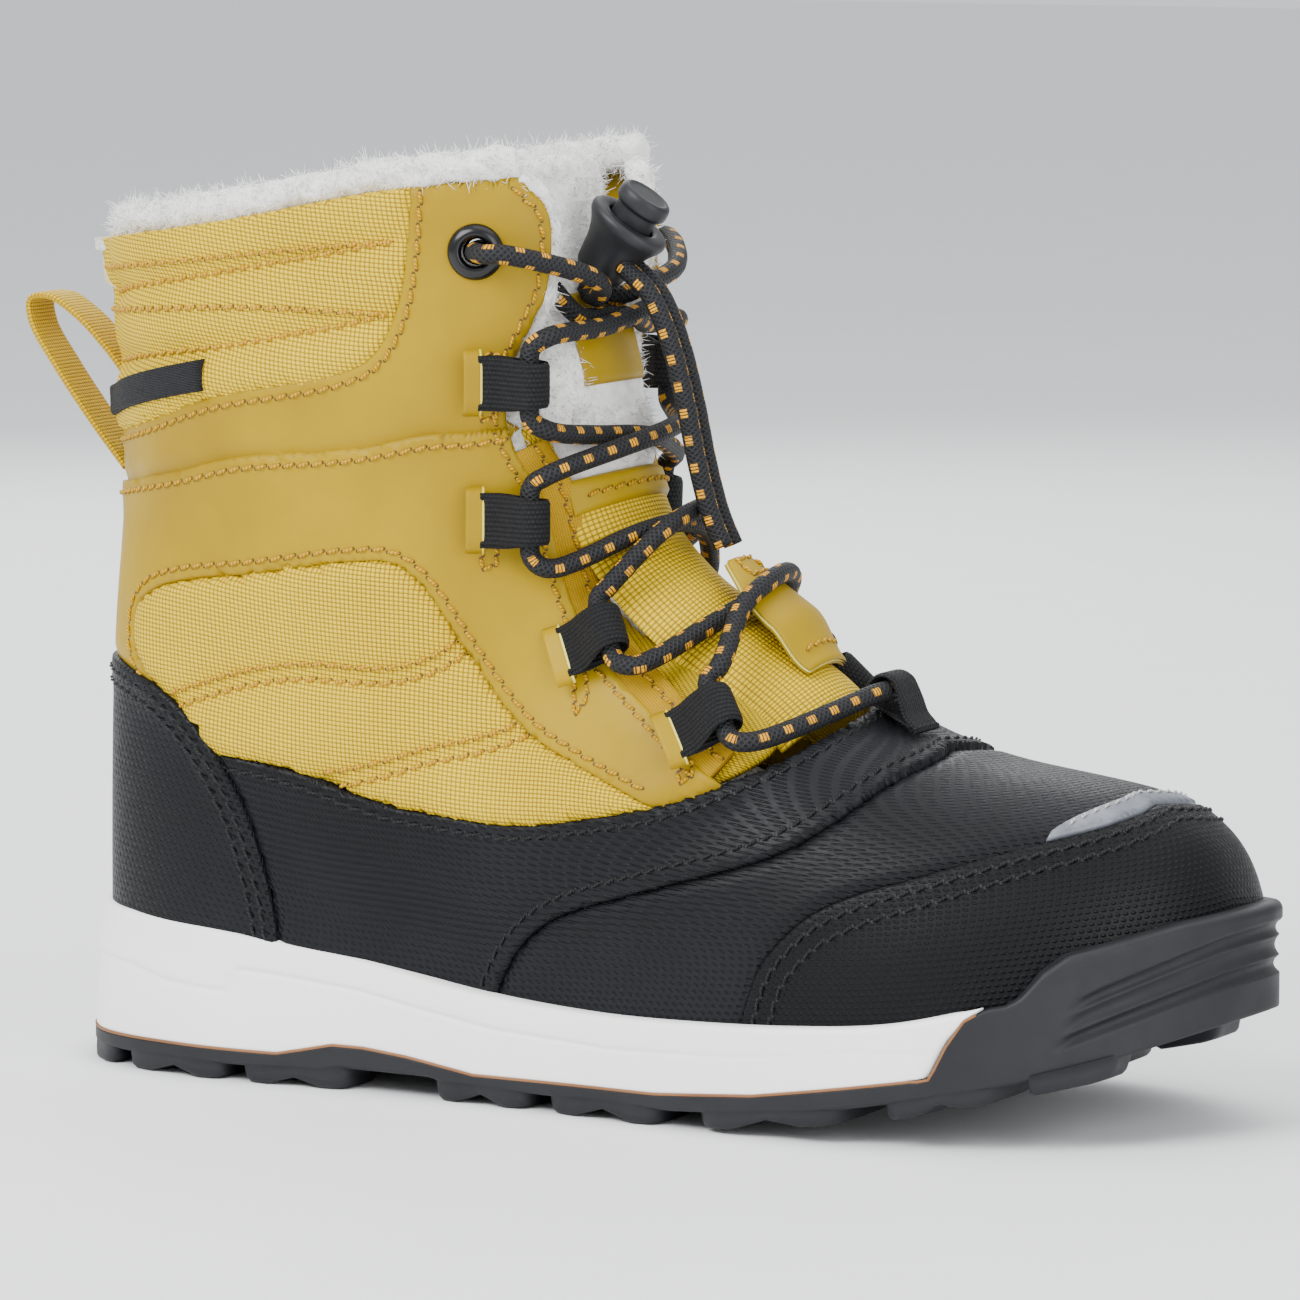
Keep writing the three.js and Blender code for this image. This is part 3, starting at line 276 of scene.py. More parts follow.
def fleece_cloth(name, colour, dark):
    n = Nodes(name)
    lumps = n.noise(260, 5, 0.7)
    # painted shade: the pile's hollows are darker, from the same noise that makes its bump
    share = n.ramp(lumps, 0.25, 0.7)
    return n.finish(n.mix(share, dark, colour), n.ramp(lumps, 0.2, 0.8, 0.98, 0.85),
                    n.bump(lumps, 1.2, 0.8), Sheen_Weight=0.35, Specular_IOR_Level=0.15)


def thread(name, colour, dark):
    """Twisted sewing thread; its UV map runs along it in millimetres."""
    n = Nodes(name)
    along, up = n.coordinates()
    twist = n.maths("SINE", n.maths("ADD", n.maths("MULTIPLY", along, 9.0), n.maths("MULTIPLY", up, 5.0)))
    # painted shade: the twist's grooves are darker, its crests lighter
    share = n.ramp(twist, -1.0, 1.0)
    return n.finish(n.mix(share, dark, colour), n.ramp(twist, -1.0, 1.0, 0.7, 0.5),
                    n.bump(twist, 0.08, 0.8), Specular_IOR_Level=0.4)


def braided(name, base, light, fleck):
    """Elastic cord: a tight black braid with paired flecks in two rows round it.

    The UV map's first number runs once round the cord, and the second along it in millimetres.
    """
    n = Nodes(name)
    around, along = n.coordinates()
    turns = 8.0
    pitch = 1.05
    one = n.maths("ADD", n.maths("MULTIPLY", around, turns), n.maths("DIVIDE", along, pitch))
    two = n.maths("SUBTRACT", n.maths("MULTIPLY", around, turns), n.maths("DIVIDE", along, pitch))
    ridges = n.maths("MAXIMUM", n.maths("SINE", n.maths("MULTIPLY", one, math.tau)),
                     n.maths("SINE", n.maths("MULTIPLY", two, math.tau)))
    rows = 3.0
    spacing = 5.2
    lane = n.maths("MULTIPLY", around, rows)
    side = n.maths("ABSOLUTE", n.maths("SUBTRACT", n.maths("FRACT", lane), 0.5))
    stagger = n.maths("MULTIPLY", n.maths("FLOOR", lane), 0.5)
    step = n.maths("FRACT", n.maths("ADD", n.maths("DIVIDE", along, spacing), stagger))
    ahead = n.maths("ABSOLUTE", n.maths("SUBTRACT", step, 0.5))
    spot = n.maths("MULTIPLY", n.ramp(side, 0.17, 0.23, 1.0, 0.0), n.ramp(ahead, 0.15, 0.19, 1.0, 0.0))
    strokes = n.ramp(n.maths("SINE", n.maths("MULTIPLY", along, math.tau / 0.62)), -0.9, -0.3)
    spot = n.maths("MULTIPLY", spot, strokes)
    # painted shade and highlight: the braid's grooves darker, its ridges lighter; the flecks are the cord's
    # own colour
    body = n.mix(n.ramp(ridges, -0.4, 1.0), base, light)
    height = n.maths("ADD", ridges, n.maths("MULTIPLY", spot, 0.8))
    return n.finish(n.mix(spot, body, fleck), n.ramp(ridges, -0.5, 1.0, 0.78, 0.58),
                    n.bump(height, 0.14, 0.9), Specular_IOR_Level=0.35)


def ribbed(name, base, light, pitch):
    """Narrow webbing with raised ribs along it and a fine weave across them."""
    n = Nodes(name)
    along, up = n.coordinates()
    rib = n.maths("SINE", n.maths("MULTIPLY", up, math.tau / pitch))
    half = n.maths("MULTIPLY", n.maths("FLOOR", n.maths("DIVIDE", up, pitch)), 0.5)
    beat = n.maths("ADD", n.maths("DIVIDE", along, pitch * 0.8), half)
    knot = n.maths("SINE", n.maths("MULTIPLY", beat, math.tau))
    height = n.maths("ADD", rib, n.maths("MULTIPLY", knot, 0.6))
    fuzz = n.noise(1300, 3)
    # painted shade: darker between the ribs, lighter on their tops
    return n.finish(n.mix(n.ramp(height, -1.0, 1.4), base, light), n.ramp(fuzz, 0.3, 0.7, 0.7, 0.85),
                    n.bump(n.maths("ADD", height, fuzz), 0.16, 0.9), Specular_IOR_Level=0.3)


def reflective_film(name):
    n = Nodes(name)
    sparkle = n.noise(1800, 2)
    wear = n.ramp(n.noise(120, 4), 0.4, 0.7)
    tone = n.mix(wear, srgb(92, 96, 104), srgb(118, 123, 131))
    return n.finish(tone, n.ramp(sparkle, 0.35, 0.65, 0.3, 0.42), n.bump(sparkle, 0.02, 0.4),
                    Specular_IOR_Level=0.6)


def steel(name):
    n = Nodes(name)
    streak = n.noise(500, 3)
    return n.finish(n.mix(streak, srgb(150, 150, 152), srgb(196, 196, 198)), n.ramp(streak, 0, 1, 0.22, 0.36),
                    n.bump(streak, 0.02, 0.4), Metallic=1.0)


def make_materials():
    yellow, yellow_dark = srgb(166, 136, 0), srgb(148, 119, 0)
    return {
        "smooth_yellow": smooth_leather("smooth_yellow", yellow, yellow_dark),
        "cut_edge": smooth_leather("cut_edge", srgb(226, 216, 110), srgb(205, 190, 80)),
        "woven_yellow": woven("woven_yellow", srgb(232, 196, 14), srgb(132, 98, 0), 0.98, 0.32, 0.86),
        "webbing_yellow": woven("webbing_yellow", srgb(222, 184, 10), srgb(132, 98, 0), 0.8, 0.3, 0.9),
        "dimpled_black": embossed("dimpled_black", srgb(13, 14, 17), srgb(19, 21, 25), (1.75, 1.3), False),
        "pebbled_black": embossed("pebbled_black", srgb(8, 9, 11), srgb(14, 15, 18), (1.5, 1.15), True),
        "midsole": plain_rubber("midsole", srgb(250, 250, 248), srgb(254, 254, 252), (0.5, 0.62), 420, 0.05),
        "outsole": plain_rubber("outsole", srgb(13, 14, 18), srgb(20, 22, 27), (0.5, 0.66), 800, 0.06),
        "fleece": fleece_cloth("fleece", srgb(246, 246, 244), srgb(214, 212, 206)),
        "fleece_hair": fleece_cloth("fleece_hair", srgb(250, 250, 248), srgb(232, 231, 227)),
        "yellow_thread": thread("yellow_thread", srgb(214, 168, 12), srgb(160, 112, 4)),
        "black_thread": thread("black_thread", srgb(16, 17, 20), srgb(5, 5, 7)),
        "white_thread": thread("white_thread", srgb(214, 214, 210), srgb(150, 150, 148)),
        # the two hole materials colour the discs at the needle holes: painted shade
        "needle_hole_shade": plain_rubber("needle_hole_shade", srgb(84, 58, 4), srgb(70, 46, 2)),
        "black_hole_shade": plain_rubber("black_hole_shade", srgb(6, 6, 7), srgb(9, 9, 10)),
        "cord": braided("cord", srgb(6, 7, 9), srgb(24, 25, 29), srgb(222, 156, 8)),
        "black_webbing": ribbed("black_webbing", srgb(4, 4, 6), srgb(24, 25, 28), 0.9),
        "eyelet": plain_rubber("eyelet", srgb(8, 8, 10), srgb(12, 12, 14), (0.2, 0.3), 300, 0.01),
        "toggle": plain_rubber("toggle", srgb(16, 17, 20), srgb(24, 26, 30), (0.42, 0.56), 600, 0.03),
        "reflective": reflective_film("reflective"),
        "steel": steel("steel"),
        "foam": plain_rubber("foam", srgb(226, 214, 160), srgb(236, 226, 178), (0.85, 0.95), 300, 0.2),
        "floor": plain_rubber("floor", srgb(238, 239, 240), srgb(240, 241, 242), (0.85, 0.9), 3, 0.0),
        "satin": woven("satin", srgb(192, 150, 4), srgb(140, 104, 0), 0.34, 0.12, 1.4),
        "bond": plain_rubber("bond", srgb(120, 78, 44), srgb(140, 96, 60)),
        "tag": ribbed("tag", srgb(12, 13, 15), srgb(38, 40, 44), 0.5),
        "board": plain_rubber("board", srgb(140, 122, 92), srgb(158, 140, 110), (0.8, 0.9), 300, 0.1),
    }


# ------------------------------------------------------------------ smooth curves
def curve(x, knots, values):
    """A smooth curve through knots, the same one that the CAD uses."""
    k, v = np.asarray(knots, float), np.asarray(values, float)
    x = np.clip(np.asarray(x, float), k[0], k[-1])
    slope = np.gradient(v, k)
    i = np.clip(np.searchsorted(k, x, side="right") - 1, 0, len(k) - 2)
    h = k[i + 1] - k[i]
    s = (x - k[i]) / h
    return ((1 + 2 * s) * (1 - s) ** 2 * v[i] + s * (1 - s) ** 2 * h * slope[i]
            + s * s * (3 - 2 * s) * v[i + 1] + s * s * (s - 1) * h * slope[i + 1])


def smoothstep(x, low, high):
    """0 below low, 1 above high, and smooth between."""
    s = np.clip((np.asarray(x, float) - low) / (high - low), 0, 1)
    return s * s * (3 - 2 * s)


def spline(points, per_span=8):
    """A Catmull-Rom line through points."""
    p = np.asarray(points, float)
    p = np.vstack([p[0], p, p[-1]])
    made = []
    for k in range(1, len(p) - 2):
        for s in np.arange(per_span) / per_span:
            one, two = (p[k + 1] - p[k - 1]) / 2, (p[k + 2] - p[k]) / 2
            made.append((2 * p[k] - 2 * p[k + 1] + one + two) * s ** 3
                        + (-3 * p[k] + 3 * p[k + 1] - 2 * one - two) * s ** 2 + one * s + p[k])
    return np.vstack([made, p[-2]])


def cord_line(points, per_span=10):
    """A centripetal Catmull-Rom line, which the CAD's cords follow."""
    p = np.asarray(points, float)
    p = np.vstack([2 * p[0] - p[1], p, 2 * p[-1] - p[-2]])
    made = []
    for k in range(1, len(p) - 2):
        a, b, c = (max(np.linalg.norm(p[k + d + 1] - p[k + d]) ** 0.5, 1e-4) for d in (-1, 0, 1))
        one = ((p[k] - p[k - 1]) / a - (p[k + 1] - p[k - 1]) / (a + b) + (p[k + 1] - p[k]) / b) * b
        two = ((p[k + 1] - p[k]) / b - (p[k + 2] - p[k]) / (b + c) + (p[k + 2] - p[k + 1]) / c) * b
        for s in np.arange(per_span) / per_span:
            made.append((2 * p[k] - 2 * p[k + 1] + one + two) * s ** 3
                        + (-3 * p[k] + 3 * p[k + 1] - 2 * one - two) * s ** 2 + one * s + p[k])
    return np.vstack([made, p[-2]])


def lengths_along(line):
    """How far along a line each of its points lies."""
    return np.concatenate([[0], np.cumsum(np.linalg.norm(np.diff(line, axis=0), axis=1))])


def even(line, spacing):
    """The same line with points at an even spacing."""
    line = np.asarray(line, float)
    lengths = lengths_along(line)
    count = max(int(round(lengths[-1] / spacing)), 1) + 1
    at = np.linspace(0, lengths[-1], count)
    return np.stack([np.interp(at, lengths, line[:, k]) for k in range(line.shape[1])], -1)


# ------------------------------------------------------------------ the last, as in the CAD
LAST_TOE, LAST_HEEL, FLOOR, SHAFT_AXIS = 206.5, -28.5, 12.0, 30.0


def foot_field(x, y, z):
    """How far a point lies outside the foot part of the last."""
    lateral = curve(x, [-30, 0, 40, 80, 120, 150, 175, 208], [28, 29, 30, 34, 40, 41.5, 39, 34])
    medial = curve(x, [-30, 0, 40, 80, 120, 150, 175, 208], [28, 29, 28, 31, 40, 43, 41, 38])
    top = curve(x, [-30, 60, 85, 100, 115, 131, 150, 170, 190, 208],
                [100, 104, 100, 93, 84, 75.5, 68, 64.5, 63, 62.5])
    toe = np.clip((x - 150) / (LAST_TOE - 150), 0, 1)
    heel = np.clip((5 - x) / (5 - LAST_HEEL), 0, 1)
    narrow = (1 - toe ** 2.6) ** (1 / 2.6) * (1 - heel ** 2.2) ** (1 / 2.2)
    lower = (1 - toe ** 4.5) ** (1 / 4.5)
    middle = curve(x, [-31, 60, 150, 208], [0, 0, 1, 6])
    half = np.where(y < middle, lateral, medial) * np.maximum(narrow, 1e-3)
    height = np.maximum((top - FLOOR) * np.maximum(lower, 1e-3), 1e-3)
    power = 2.5
    q = (np.abs(y - middle) / half) ** power + (np.maximum(z - FLOOR, 0) / height) ** power
    inside = (q ** (1 / power) - 1) * np.minimum(half, height)
    beyond = np.maximum(x - LAST_TOE, LAST_HEEL - x)
    return np.where(beyond > 0, beyond + 5, inside)


def shaft_field(x, y, z):
    """How far a point lies outside the shaft part of the last."""
    middle = 22
    back = curve(z, [12, 30, 60, 80, 100, 120, 140, 165, 190],
                 [-26, -26.5, -26, -25, -22.5, -23, -25.5, -28, -28])
    front = curve(z, [12, 60, 90, 110, 130, 150, 180, 200], [58, 64, 73, 78, 79, 79, 79, 79])
    half = curve(z, [12, 50, 80, 110, 140, 180], [28, 29, 31, 33, 35, 36])
    reach = np.where(x > middle, front - middle, middle - back)
    power = np.where(x > middle, curve(z, [12, 90, 140, 190], [2.2, 2.3, 3.0, 3.2]), 2.25)
    q = (np.abs(x - middle) / reach) ** power + (np.abs(y) / half) ** power
    return (q ** (1 / power) - 1) * np.minimum(reach, half)


def field(x, y, z):
    """How far a point lies outside the whole last: foot and shaft, blended."""
    blend = 16.0
    foot, shaft = foot_field(x, y, z), shaft_field(x, y, z)
    h = np.clip(0.5 + 0.5 * (shaft - foot) / blend, 0, 1)
    return shaft * (1 - h) + foot * h - blend * h * (1 - h)


def cast(u, t):
    """The skin's points: rays from the shaft's axis out to the last's surface."""
    angle = np.sign(u) * curve(np.abs(u), [0, 0.12, 0.25, 0.45, 0.65, 0.85, 1], [0, 8, 17, 32, 58, 125, 180])
    facing = np.cos(np.radians(angle) / 2)
    front = facing ** 3
    base = curve(np.abs(angle), [0, 10, 20, 35, 60, 100, 140, 180], [25, 22, 17, 14, 15, 17, 21, 23])
    top = 160 + 16 * np.maximum(facing, 0) ** 1.5
    steps = [0, 0.15, 0.3, 0.45, 0.6, 0.8, 1]
    share = front * curve(t, steps, [0, 0.02, 0.05, 0.11, 0.25, 0.56, 1]) + (1 - front) * t
    tilt = np.radians(front * curve(t, steps, [0, 9, 19, 32, 37, 24, 0]))
    start = base + (top - base) * share
    a = np.radians(angle)
    dx, dy, dz = np.cos(a), -np.sin(a), np.tan(tilt)
    near = np.full(np.shape(angle), 8.0)
    inside = np.ones(np.shape(angle), bool)
    for _ in range(64):
        ahead = near + 3
        inside &= field(SHAFT_AXIS + dx * ahead, dy * ahead, start + dz * ahead) < 0
        near = np.where(inside, ahead, near)
        if not inside.any():
            break
    far = near + 3
    for _ in range(18):
        middle = (near + far) / 2
        within = field(SHAFT_AXIS + dx * middle, dy * middle, start + dz * middle) < 0
        near, far = np.where(within, middle, near), np.where(within, far, middle)
    return np.stack([SHAFT_AXIS + dx * near, dy * near, start + dz * near], -1)


class Skin:
    """The last's surface, sampled once. u runs round the boot: 0 at the toe, 1 at the heel,
    positive on the lateral side. t runs up it: 0 at the feather line, 1 at the collar's edge."""

    columns, rows = 384, 128

    def __init__(self):
        u = np.linspace(-1, 1, self.columns + 1)[:-1]
        t = np.linspace(0, 1, self.rows + 1)
        grid_u, grid_t = np.meshgrid(u, t, indexing="ij")
        self.points = cast(grid_u, grid_t)
        x, y, z = (self.points[..., k] for k in range(3))
        e = 0.05
        upright = smoothstep(grid_t, 0, 0.1)
        slope = np.stack([field(x + e, y, z) - field(x - e, y, z), field(x, y + e, z) - field(x, y - e, z),
                          (field(x, y, z + e) - field(x, y, z - e)) * upright], -1)
        self.normals = slope / np.linalg.norm(slope, axis=-1, keepdims=True)
        step = np.linalg.norm(np.roll(self.points, -1, 0) - self.points, axis=-1)
        self.around = np.vstack([np.zeros((1, self.rows + 1)), np.cumsum(step, 0)])
        rise = np.linalg.norm(np.diff(self.points, axis=1), axis=-1)
        self.up = np.hstack([np.zeros((self.columns, 1)), np.cumsum(rise, 1)])

    def cell(self, u, t):
        x = np.mod(np.asarray(u, float) + 1, 2) * self.columns / 2
        y = np.clip(np.asarray(t, float), 0, 1) * self.rows
        i, j = np.floor(x).astype(int), np.minimum(np.floor(y).astype(int), self.rows - 1)
        return i % self.columns, j, (x - np.floor(x))[..., None], (y - j)[..., None]

    def read(self, values, u, t):
        i, j, fx, fy = self.cell(u, t)
        after = (i + 1) % self.columns
        return ((values[i, j] * (1 - fx) + values[after, j] * fx) * (1 - fy)
                + (values[i, j + 1] * (1 - fx) + values[after, j + 1] * fx) * fy)

    def normal(self, u, t):
        made = self.read(self.normals, u, t)
        return made / np.linalg.norm(made, axis=-1, keepdims=True)

    def at(self, u, t, out=0.0):
        out = np.asarray(out, float)
        return self.read(self.points, u, t) + self.normal(u, t) * out[..., None]

    def on(self, chart, out=0.0):
        """The skin's points under chart points."""
        return self.at(chart[:, 0], chart[:, 1], out)

    def metric(self, u, t, centre):
        """Millimetres along and up the skin, from the column at centre."""
        u, t = np.asarray(u, float), np.asarray(t, float)
        laps = np.floor((u + 1) / 2)

        def along(v, lap):
            x = np.mod(v + 1, 2) * self.columns / 2
            i = np.floor(x).astype(int)
            y = np.clip(t, 0, 1) * self.rows
            j = np.minimum(np.floor(y).astype(int), self.rows - 1)
            fx, fy = x - i, y - j
            low = self.around[i, j] * (1 - fx) + self.around[i + 1, j] * fx
            high = self.around[i, j + 1] * (1 - fx) + self.around[i + 1, j + 1] * fx
            whole = self.around[-1, j] * (1 - fy) + self.around[-1, j + 1] * fy
            return low * (1 - fy) + high * fy + lap * whole
        middle = np.full(u.shape, float(centre))
        a = along(u, laps) - along(middle, np.floor((middle + 1) / 2))
        b = self.read(self.up[..., None], u, t)[..., 0]
        return a, b

    def shift(self, line, distance):
        """Chart points moved sideways on the surface, to the left of their run seen in the chart."""
        line = np.asarray(line, float)
        e = 0.003
        u, t = line[:, 0], np.clip(line[:, 1], e, 1 - e)
        along_u = (self.at(u + e, t) - self.at(u - e, t)) / (2 * e)
        along_t = (self.at(u, t + e) - self.at(u, t - e)) / (2 * e)
        step = np.gradient(line, axis=0)
        way = along_u * step[:, :1] + along_t * step[:, 1:]
        way /= np.maximum(np.linalg.norm(way, axis=1, keepdims=True), 1e-9)
        side = np.cross(way, self.normal(u, t)) * np.asarray(distance, float).reshape(-1, 1)
        uu, ut, tt = (along_u ** 2).sum(1), (along_u * along_t).sum(1), (along_t ** 2).sum(1)
        su, st = (side * along_u).sum(1), (side * along_t).sum(1)
        whole = uu * tt - ut * ut
        return line + np.stack([(su * tt - st * ut) / whole, (st * uu - su * ut) / whole], -1)


skin = Skin()


# ------------------------------------------------------------------ meshes
def make_piece(name, points, faces, material, body="root", uv=None, slots=None):
    """A mesh object from points in millimetres, riding on a CAD body.

    uv holds a pair per point, and slots gives each face's material. A piece given no body is left unattached.
    """
    mesh = bpy.data.meshes.new(name)
    mesh.from_pydata((np.asarray(points, float) * MM).tolist(), [], [tuple(map(int, f)) for f in faces])
    for one in material if isinstance(material, list) else [material]:
        mesh.materials.append(materials[one])
    if slots is not None:
        mesh.polygons.foreach_set("material_index", np.asarray(slots, np.int32))
    if uv is not None:
        layer = mesh.uv_layers.new(name="mm")
        corners = np.empty(len(mesh.loops), np.int32)
        mesh.loops.foreach_get("vertex_index", corners)
        layer.data.foreach_set("uv", (np.asarray(uv, float)[corners] / UV_SCALE).ravel())
    mesh.polygons.foreach_set("use_smooth", np.full(len(mesh.polygons), True))
    mesh.update()
    piece = bpy.data.objects.new(name, mesh)
    bpy.context.scene.collection.objects.link(piece)
    if body:
        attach(piece, body)
    return piece


class Shapes:
    """Collects many small shapes into one piece."""

    def __init__(self):
        self.points, self.faces, self.uv, self.slots, self.count = [], [], [], [], 0

    def add(self, points, faces, uv=None, slot=0):
        points = np.asarray(points, float)
        self.points.append(points)
        self.faces += [tuple(i + self.count for i in face) for face in faces]
        self.uv.append(np.zeros((len(points), 2)) if uv is None else np.asarray(uv, float))
        self.slots += [slot] * len(faces)
        self.count += len(points)

    def piece(self, name, material, body="root"):
        return make_piece(name, np.vstack(self.points), self.faces, material, body,
                          np.vstack(self.uv), self.slots)


def frames_along(line, up=None):
    """At each point of a line: its direction, and two directions across it that turn little."""
    way = np.gradient(line, axis=0)
    way /= np.linalg.norm(way, axis=1, keepdims=True)
    one = np.empty_like(line)
    first = np.array([0, 0, 1.0]) if up is None else np.asarray(up, float)
    for k, w in enumerate(way):
        start = first if k == 0 else one[k - 1]
        across = start - w * (start @ w)
        one[k] = across / np.linalg.norm(across)
    return way, one, np.cross(way, one)


def tube_shape(line, radius, sides=12, up=None, flat=1.0, closed_ends=True):
    """Points, faces and UV numbers of a tube. Its UV map runs round it in hundredths, and along it."""
    _, one, two = frames_along(line, up)
    radius = np.broadcast_to(np.asarray(radius, float), (len(line),))
    a = np.linspace(0, math.tau, sides + 1)
    ring = one[:, None] * np.cos(a)[None, :, None] + two[:, None] * (flat * np.sin(a))[None, :, None]
    points = (line[:, None] + ring * radius[:, None, None]).reshape(-1, 3)
    lengths = lengths_along(line)
    uv = np.stack(np.meshgrid(a / math.tau, lengths, indexing="xy"), -1).reshape(-1, 2)
    wide = sides + 1
    faces = [(k * wide + i, k * wide + i + 1, (k + 1) * wide + i + 1, (k + 1) * wide + i)
             for k in range(len(line) - 1) for i in range(sides)]
    if closed_ends:
        faces.append(tuple(range(sides - 1, -1, -1)))
        faces.append(tuple((len(line) - 1) * wide + i for i in range(sides)))
    return points, faces, uv


def ring_faces(rings, sides):
    """Quads between closed rings of points that lie one after the other in a list."""
    return [(k * sides + i, k * sides + (i + 1) % sides, (k + 1) * sides + (i + 1) % sides,
             (k + 1) * sides + i) for k in range(rings - 1) for i in range(sides)]


def welded(piece, distance=0.01):
    """Joins doubled points, such as those along a tube's UV seam."""
    work = bmesh.new()
    work.from_mesh(piece.data)
    bmesh.ops.remove_doubles(work, verts=work.verts, dist=distance * MM)
    work.to_mesh(piece.data)
    work.free()
    return piece


# ------------------------------------------------------------------ panels on the skin
def line_distance(points, line):
    """Each point's distance to a line of straight stretches."""
    best = np.full(len(points), 1e9)
    for a, b in zip(line[:-1], line[1:]):
        step = b - a
        share = np.clip((points - a) @ step / max(step @ step, 1e-12), 0, 1)
        best = np.minimum(best, np.linalg.norm(points - a - share[:, None] * step, axis=1))
    return best


CHART_SIZE = np.array([150.0, 100.0])  # about how many millimetres one unit of u and of t cover


def even_chart(line, spacing):
    """A chart line with points at about an even spacing in millimetres."""
    return even(np.asarray(line, float) * CHART_SIZE, spacing) / CHART_SIZE


def inside(points, outline):
    """Whether each chart point is inside a closed outline."""
    x, y = points[:, 0], points[:, 1]
    within = np.zeros(len(points), bool)
    for (ax, ay), (bx, by) in zip(outline, np.roll(outline, -1, 0)):
        crosses = (ay > y) != (by > y)
        if ay != by:
            within ^= crosses & (x < (bx - ax) * (y - ay) / (by - ay) + ax)
    return within


class Run:
    """One side of a panel: chart points, and how the panel ends there.

    over: lies on its neighbour; under: tucked below it; open: a free edge; sunk: inside the sole.
    """

    def __init__(self, points, kind):
        self.points, self.kind = np.asarray(points, float), kind


TUCK, LAP, THICK = 2.6, 0.95, 1.6
SPREAD = {"over": 0.4, "under": TUCK, "open": 0.0, "sunk": 0.0}


class Panel:
    """A sewn panel: its mesh lies on the skin, laps its neighbours and dips along its stitched lines."""

    def __init__(self, name, runs, material, spacing=1.7, raise_by=0.3, dents=(), puff=0.0,
                 holes=(), body="root", swell=None, deep=0.0, inner=None):
        self.runs, self.raise_by, self.dents, self.puff, self.swell = runs, raise_by, dents, puff, swell
        self.deep, self.inner = deep, inner
        chart, kinds = [], []
        for run in runs:
            length = skin.on(run.points)
            count = max(int(np.linalg.norm(np.diff(length, axis=0), axis=1).sum() / 1.3), 1)
            share = np.linspace(0, 1, count + 1)[:-1]
            at = np.linspace(0, 1, len(run.points))
            chart.append(np.stack([np.interp(share, at, run.points[:, k]) for k in (0, 1)], -1))
            kinds += [run.kind] * count
        self.outline = np.vstack(chart)
        self.lines = [skin.on(run.points) for run in runs]
        area = np.sum(self.outline[:, 0] * np.roll(self.outline[:, 1], -1)
                      - np.roll(self.outline[:, 0], -1) * self.outline[:, 1])
        self.turn = 1.0 if area > 0 else -1.0
        spread = np.array([SPREAD[kind] for kind in kinds])
        edge = self.moved(-spread)
        self.centre = (self.outline[:, 0].min() + self.outline[:, 0].max()) / 2
        self.edge_line = skin.on(edge)
        self.edge_line = np.vstack([self.edge_line, self.edge_line[:1]])
        rings = [self.moved(-spread + d) for d in (0.35, 0.8, 1.4, 2.1, 2.9, 3.8)]
        rings = [ring[1::2] if k > 1 else ring for k, ring in enumerate(rings)]
        extra = [np.vstack([skin.shift(line, d) for d in (-1.7, -0.8, 0.0, 0.8, 1.7)])
                 for line, _, _ in dents]
        candidates = np.vstack([*rings, *extra, self.grid(spacing)])
        candidates = candidates[inside(candidates, edge)]
        clear = line_distance(skin.on(candidates), self.edge_line) > 0.22
        candidates = self.thinned(candidates[clear], 0.5)
        flat = np.vstack([edge, candidates])
        loops = [list(range(len(edge)))]
        for u, t, radius in holes:
            ring = self.circle(u, t, radius)
            away = np.linalg.norm(skin.on(flat) - skin.at(u, t), axis=1) > radius + 0.4
            away[:len(edge)] = True
            flat = flat[away]
            loops.append(list(range(len(flat), len(flat) + len(ring))))
            flat = np.vstack([flat, ring])
        self.mesh(name, flat, loops, holes, material, body)

    def moved(self, distance):
        """The outline moved inwards by a distance, in millimetres."""
        closed = np.vstack([self.outline[-2:], self.outline, self.outline[:2]])
        distance = np.broadcast_to(np.asarray(distance, float), (len(self.outline),))
        padded = np.concatenate([distance[-2:], distance, distance[:2]])
        return skin.shift(closed, padded * self.turn)[2:-2]

    def grid(self, spacing):
        low, high = self.outline.min(0), self.outline.max(0)
        u, t = (low + high) / 2
        e = 0.01
        t = min(max(t, e), 1 - e)
        wide = np.linalg.norm(skin.at(u + e, t) - skin.at(u - e, t)) / (2 * e)
        tall = np.linalg.norm(skin.at(u, t + e) - skin.at(u, t - e)) / (2 * e)
        us = np.arange(low[0], high[0], spacing / wide)
        ts = np.arange(max(low[1], 0) + 1e-3, min(high[1], 1), spacing / tall)
        made = np.stack(np.meshgrid(us, ts, indexing="ij"), -1)
        made[1::2, :, 1] += spacing / tall / 2
        return made.reshape(-1, 2)

    @staticmethod
    def thinned(chart, least):
        """Drops points that fall in a cell that another one holds already."""
        points = skin.on(chart)
        _, first = np.unique(np.floor(points / least).astype(int), axis=0, return_index=True)
        return chart[np.sort(first)]

    @staticmethod
    def circle(u, t, radius, sides=28):
        a = np.arange(sides) * math.tau / sides
        e = 0.003
        along_u = (skin.at(u + e, t) - skin.at(u - e, t)) / (2 * e)
        along_t = (skin.at(u, t + e) - skin.at(u, t - e)) / (2 * e)
        up = along_t / np.linalg.norm(along_t)
        side = np.cross(skin.normal(u, t), up)
        way = (np.cos(a)[:, None] * up + np.sin(a)[:, None] * side) * radius
        uu, ut, tt = along_u @ along_u, along_u @ along_t, along_t @ along_t
        su, st = way @ along_u, way @ along_t
        whole = uu * tt - ut * ut
        return np.stack([u + (su * tt - st * ut) / whole, t + (st * uu - su * ut) / whole], -1)

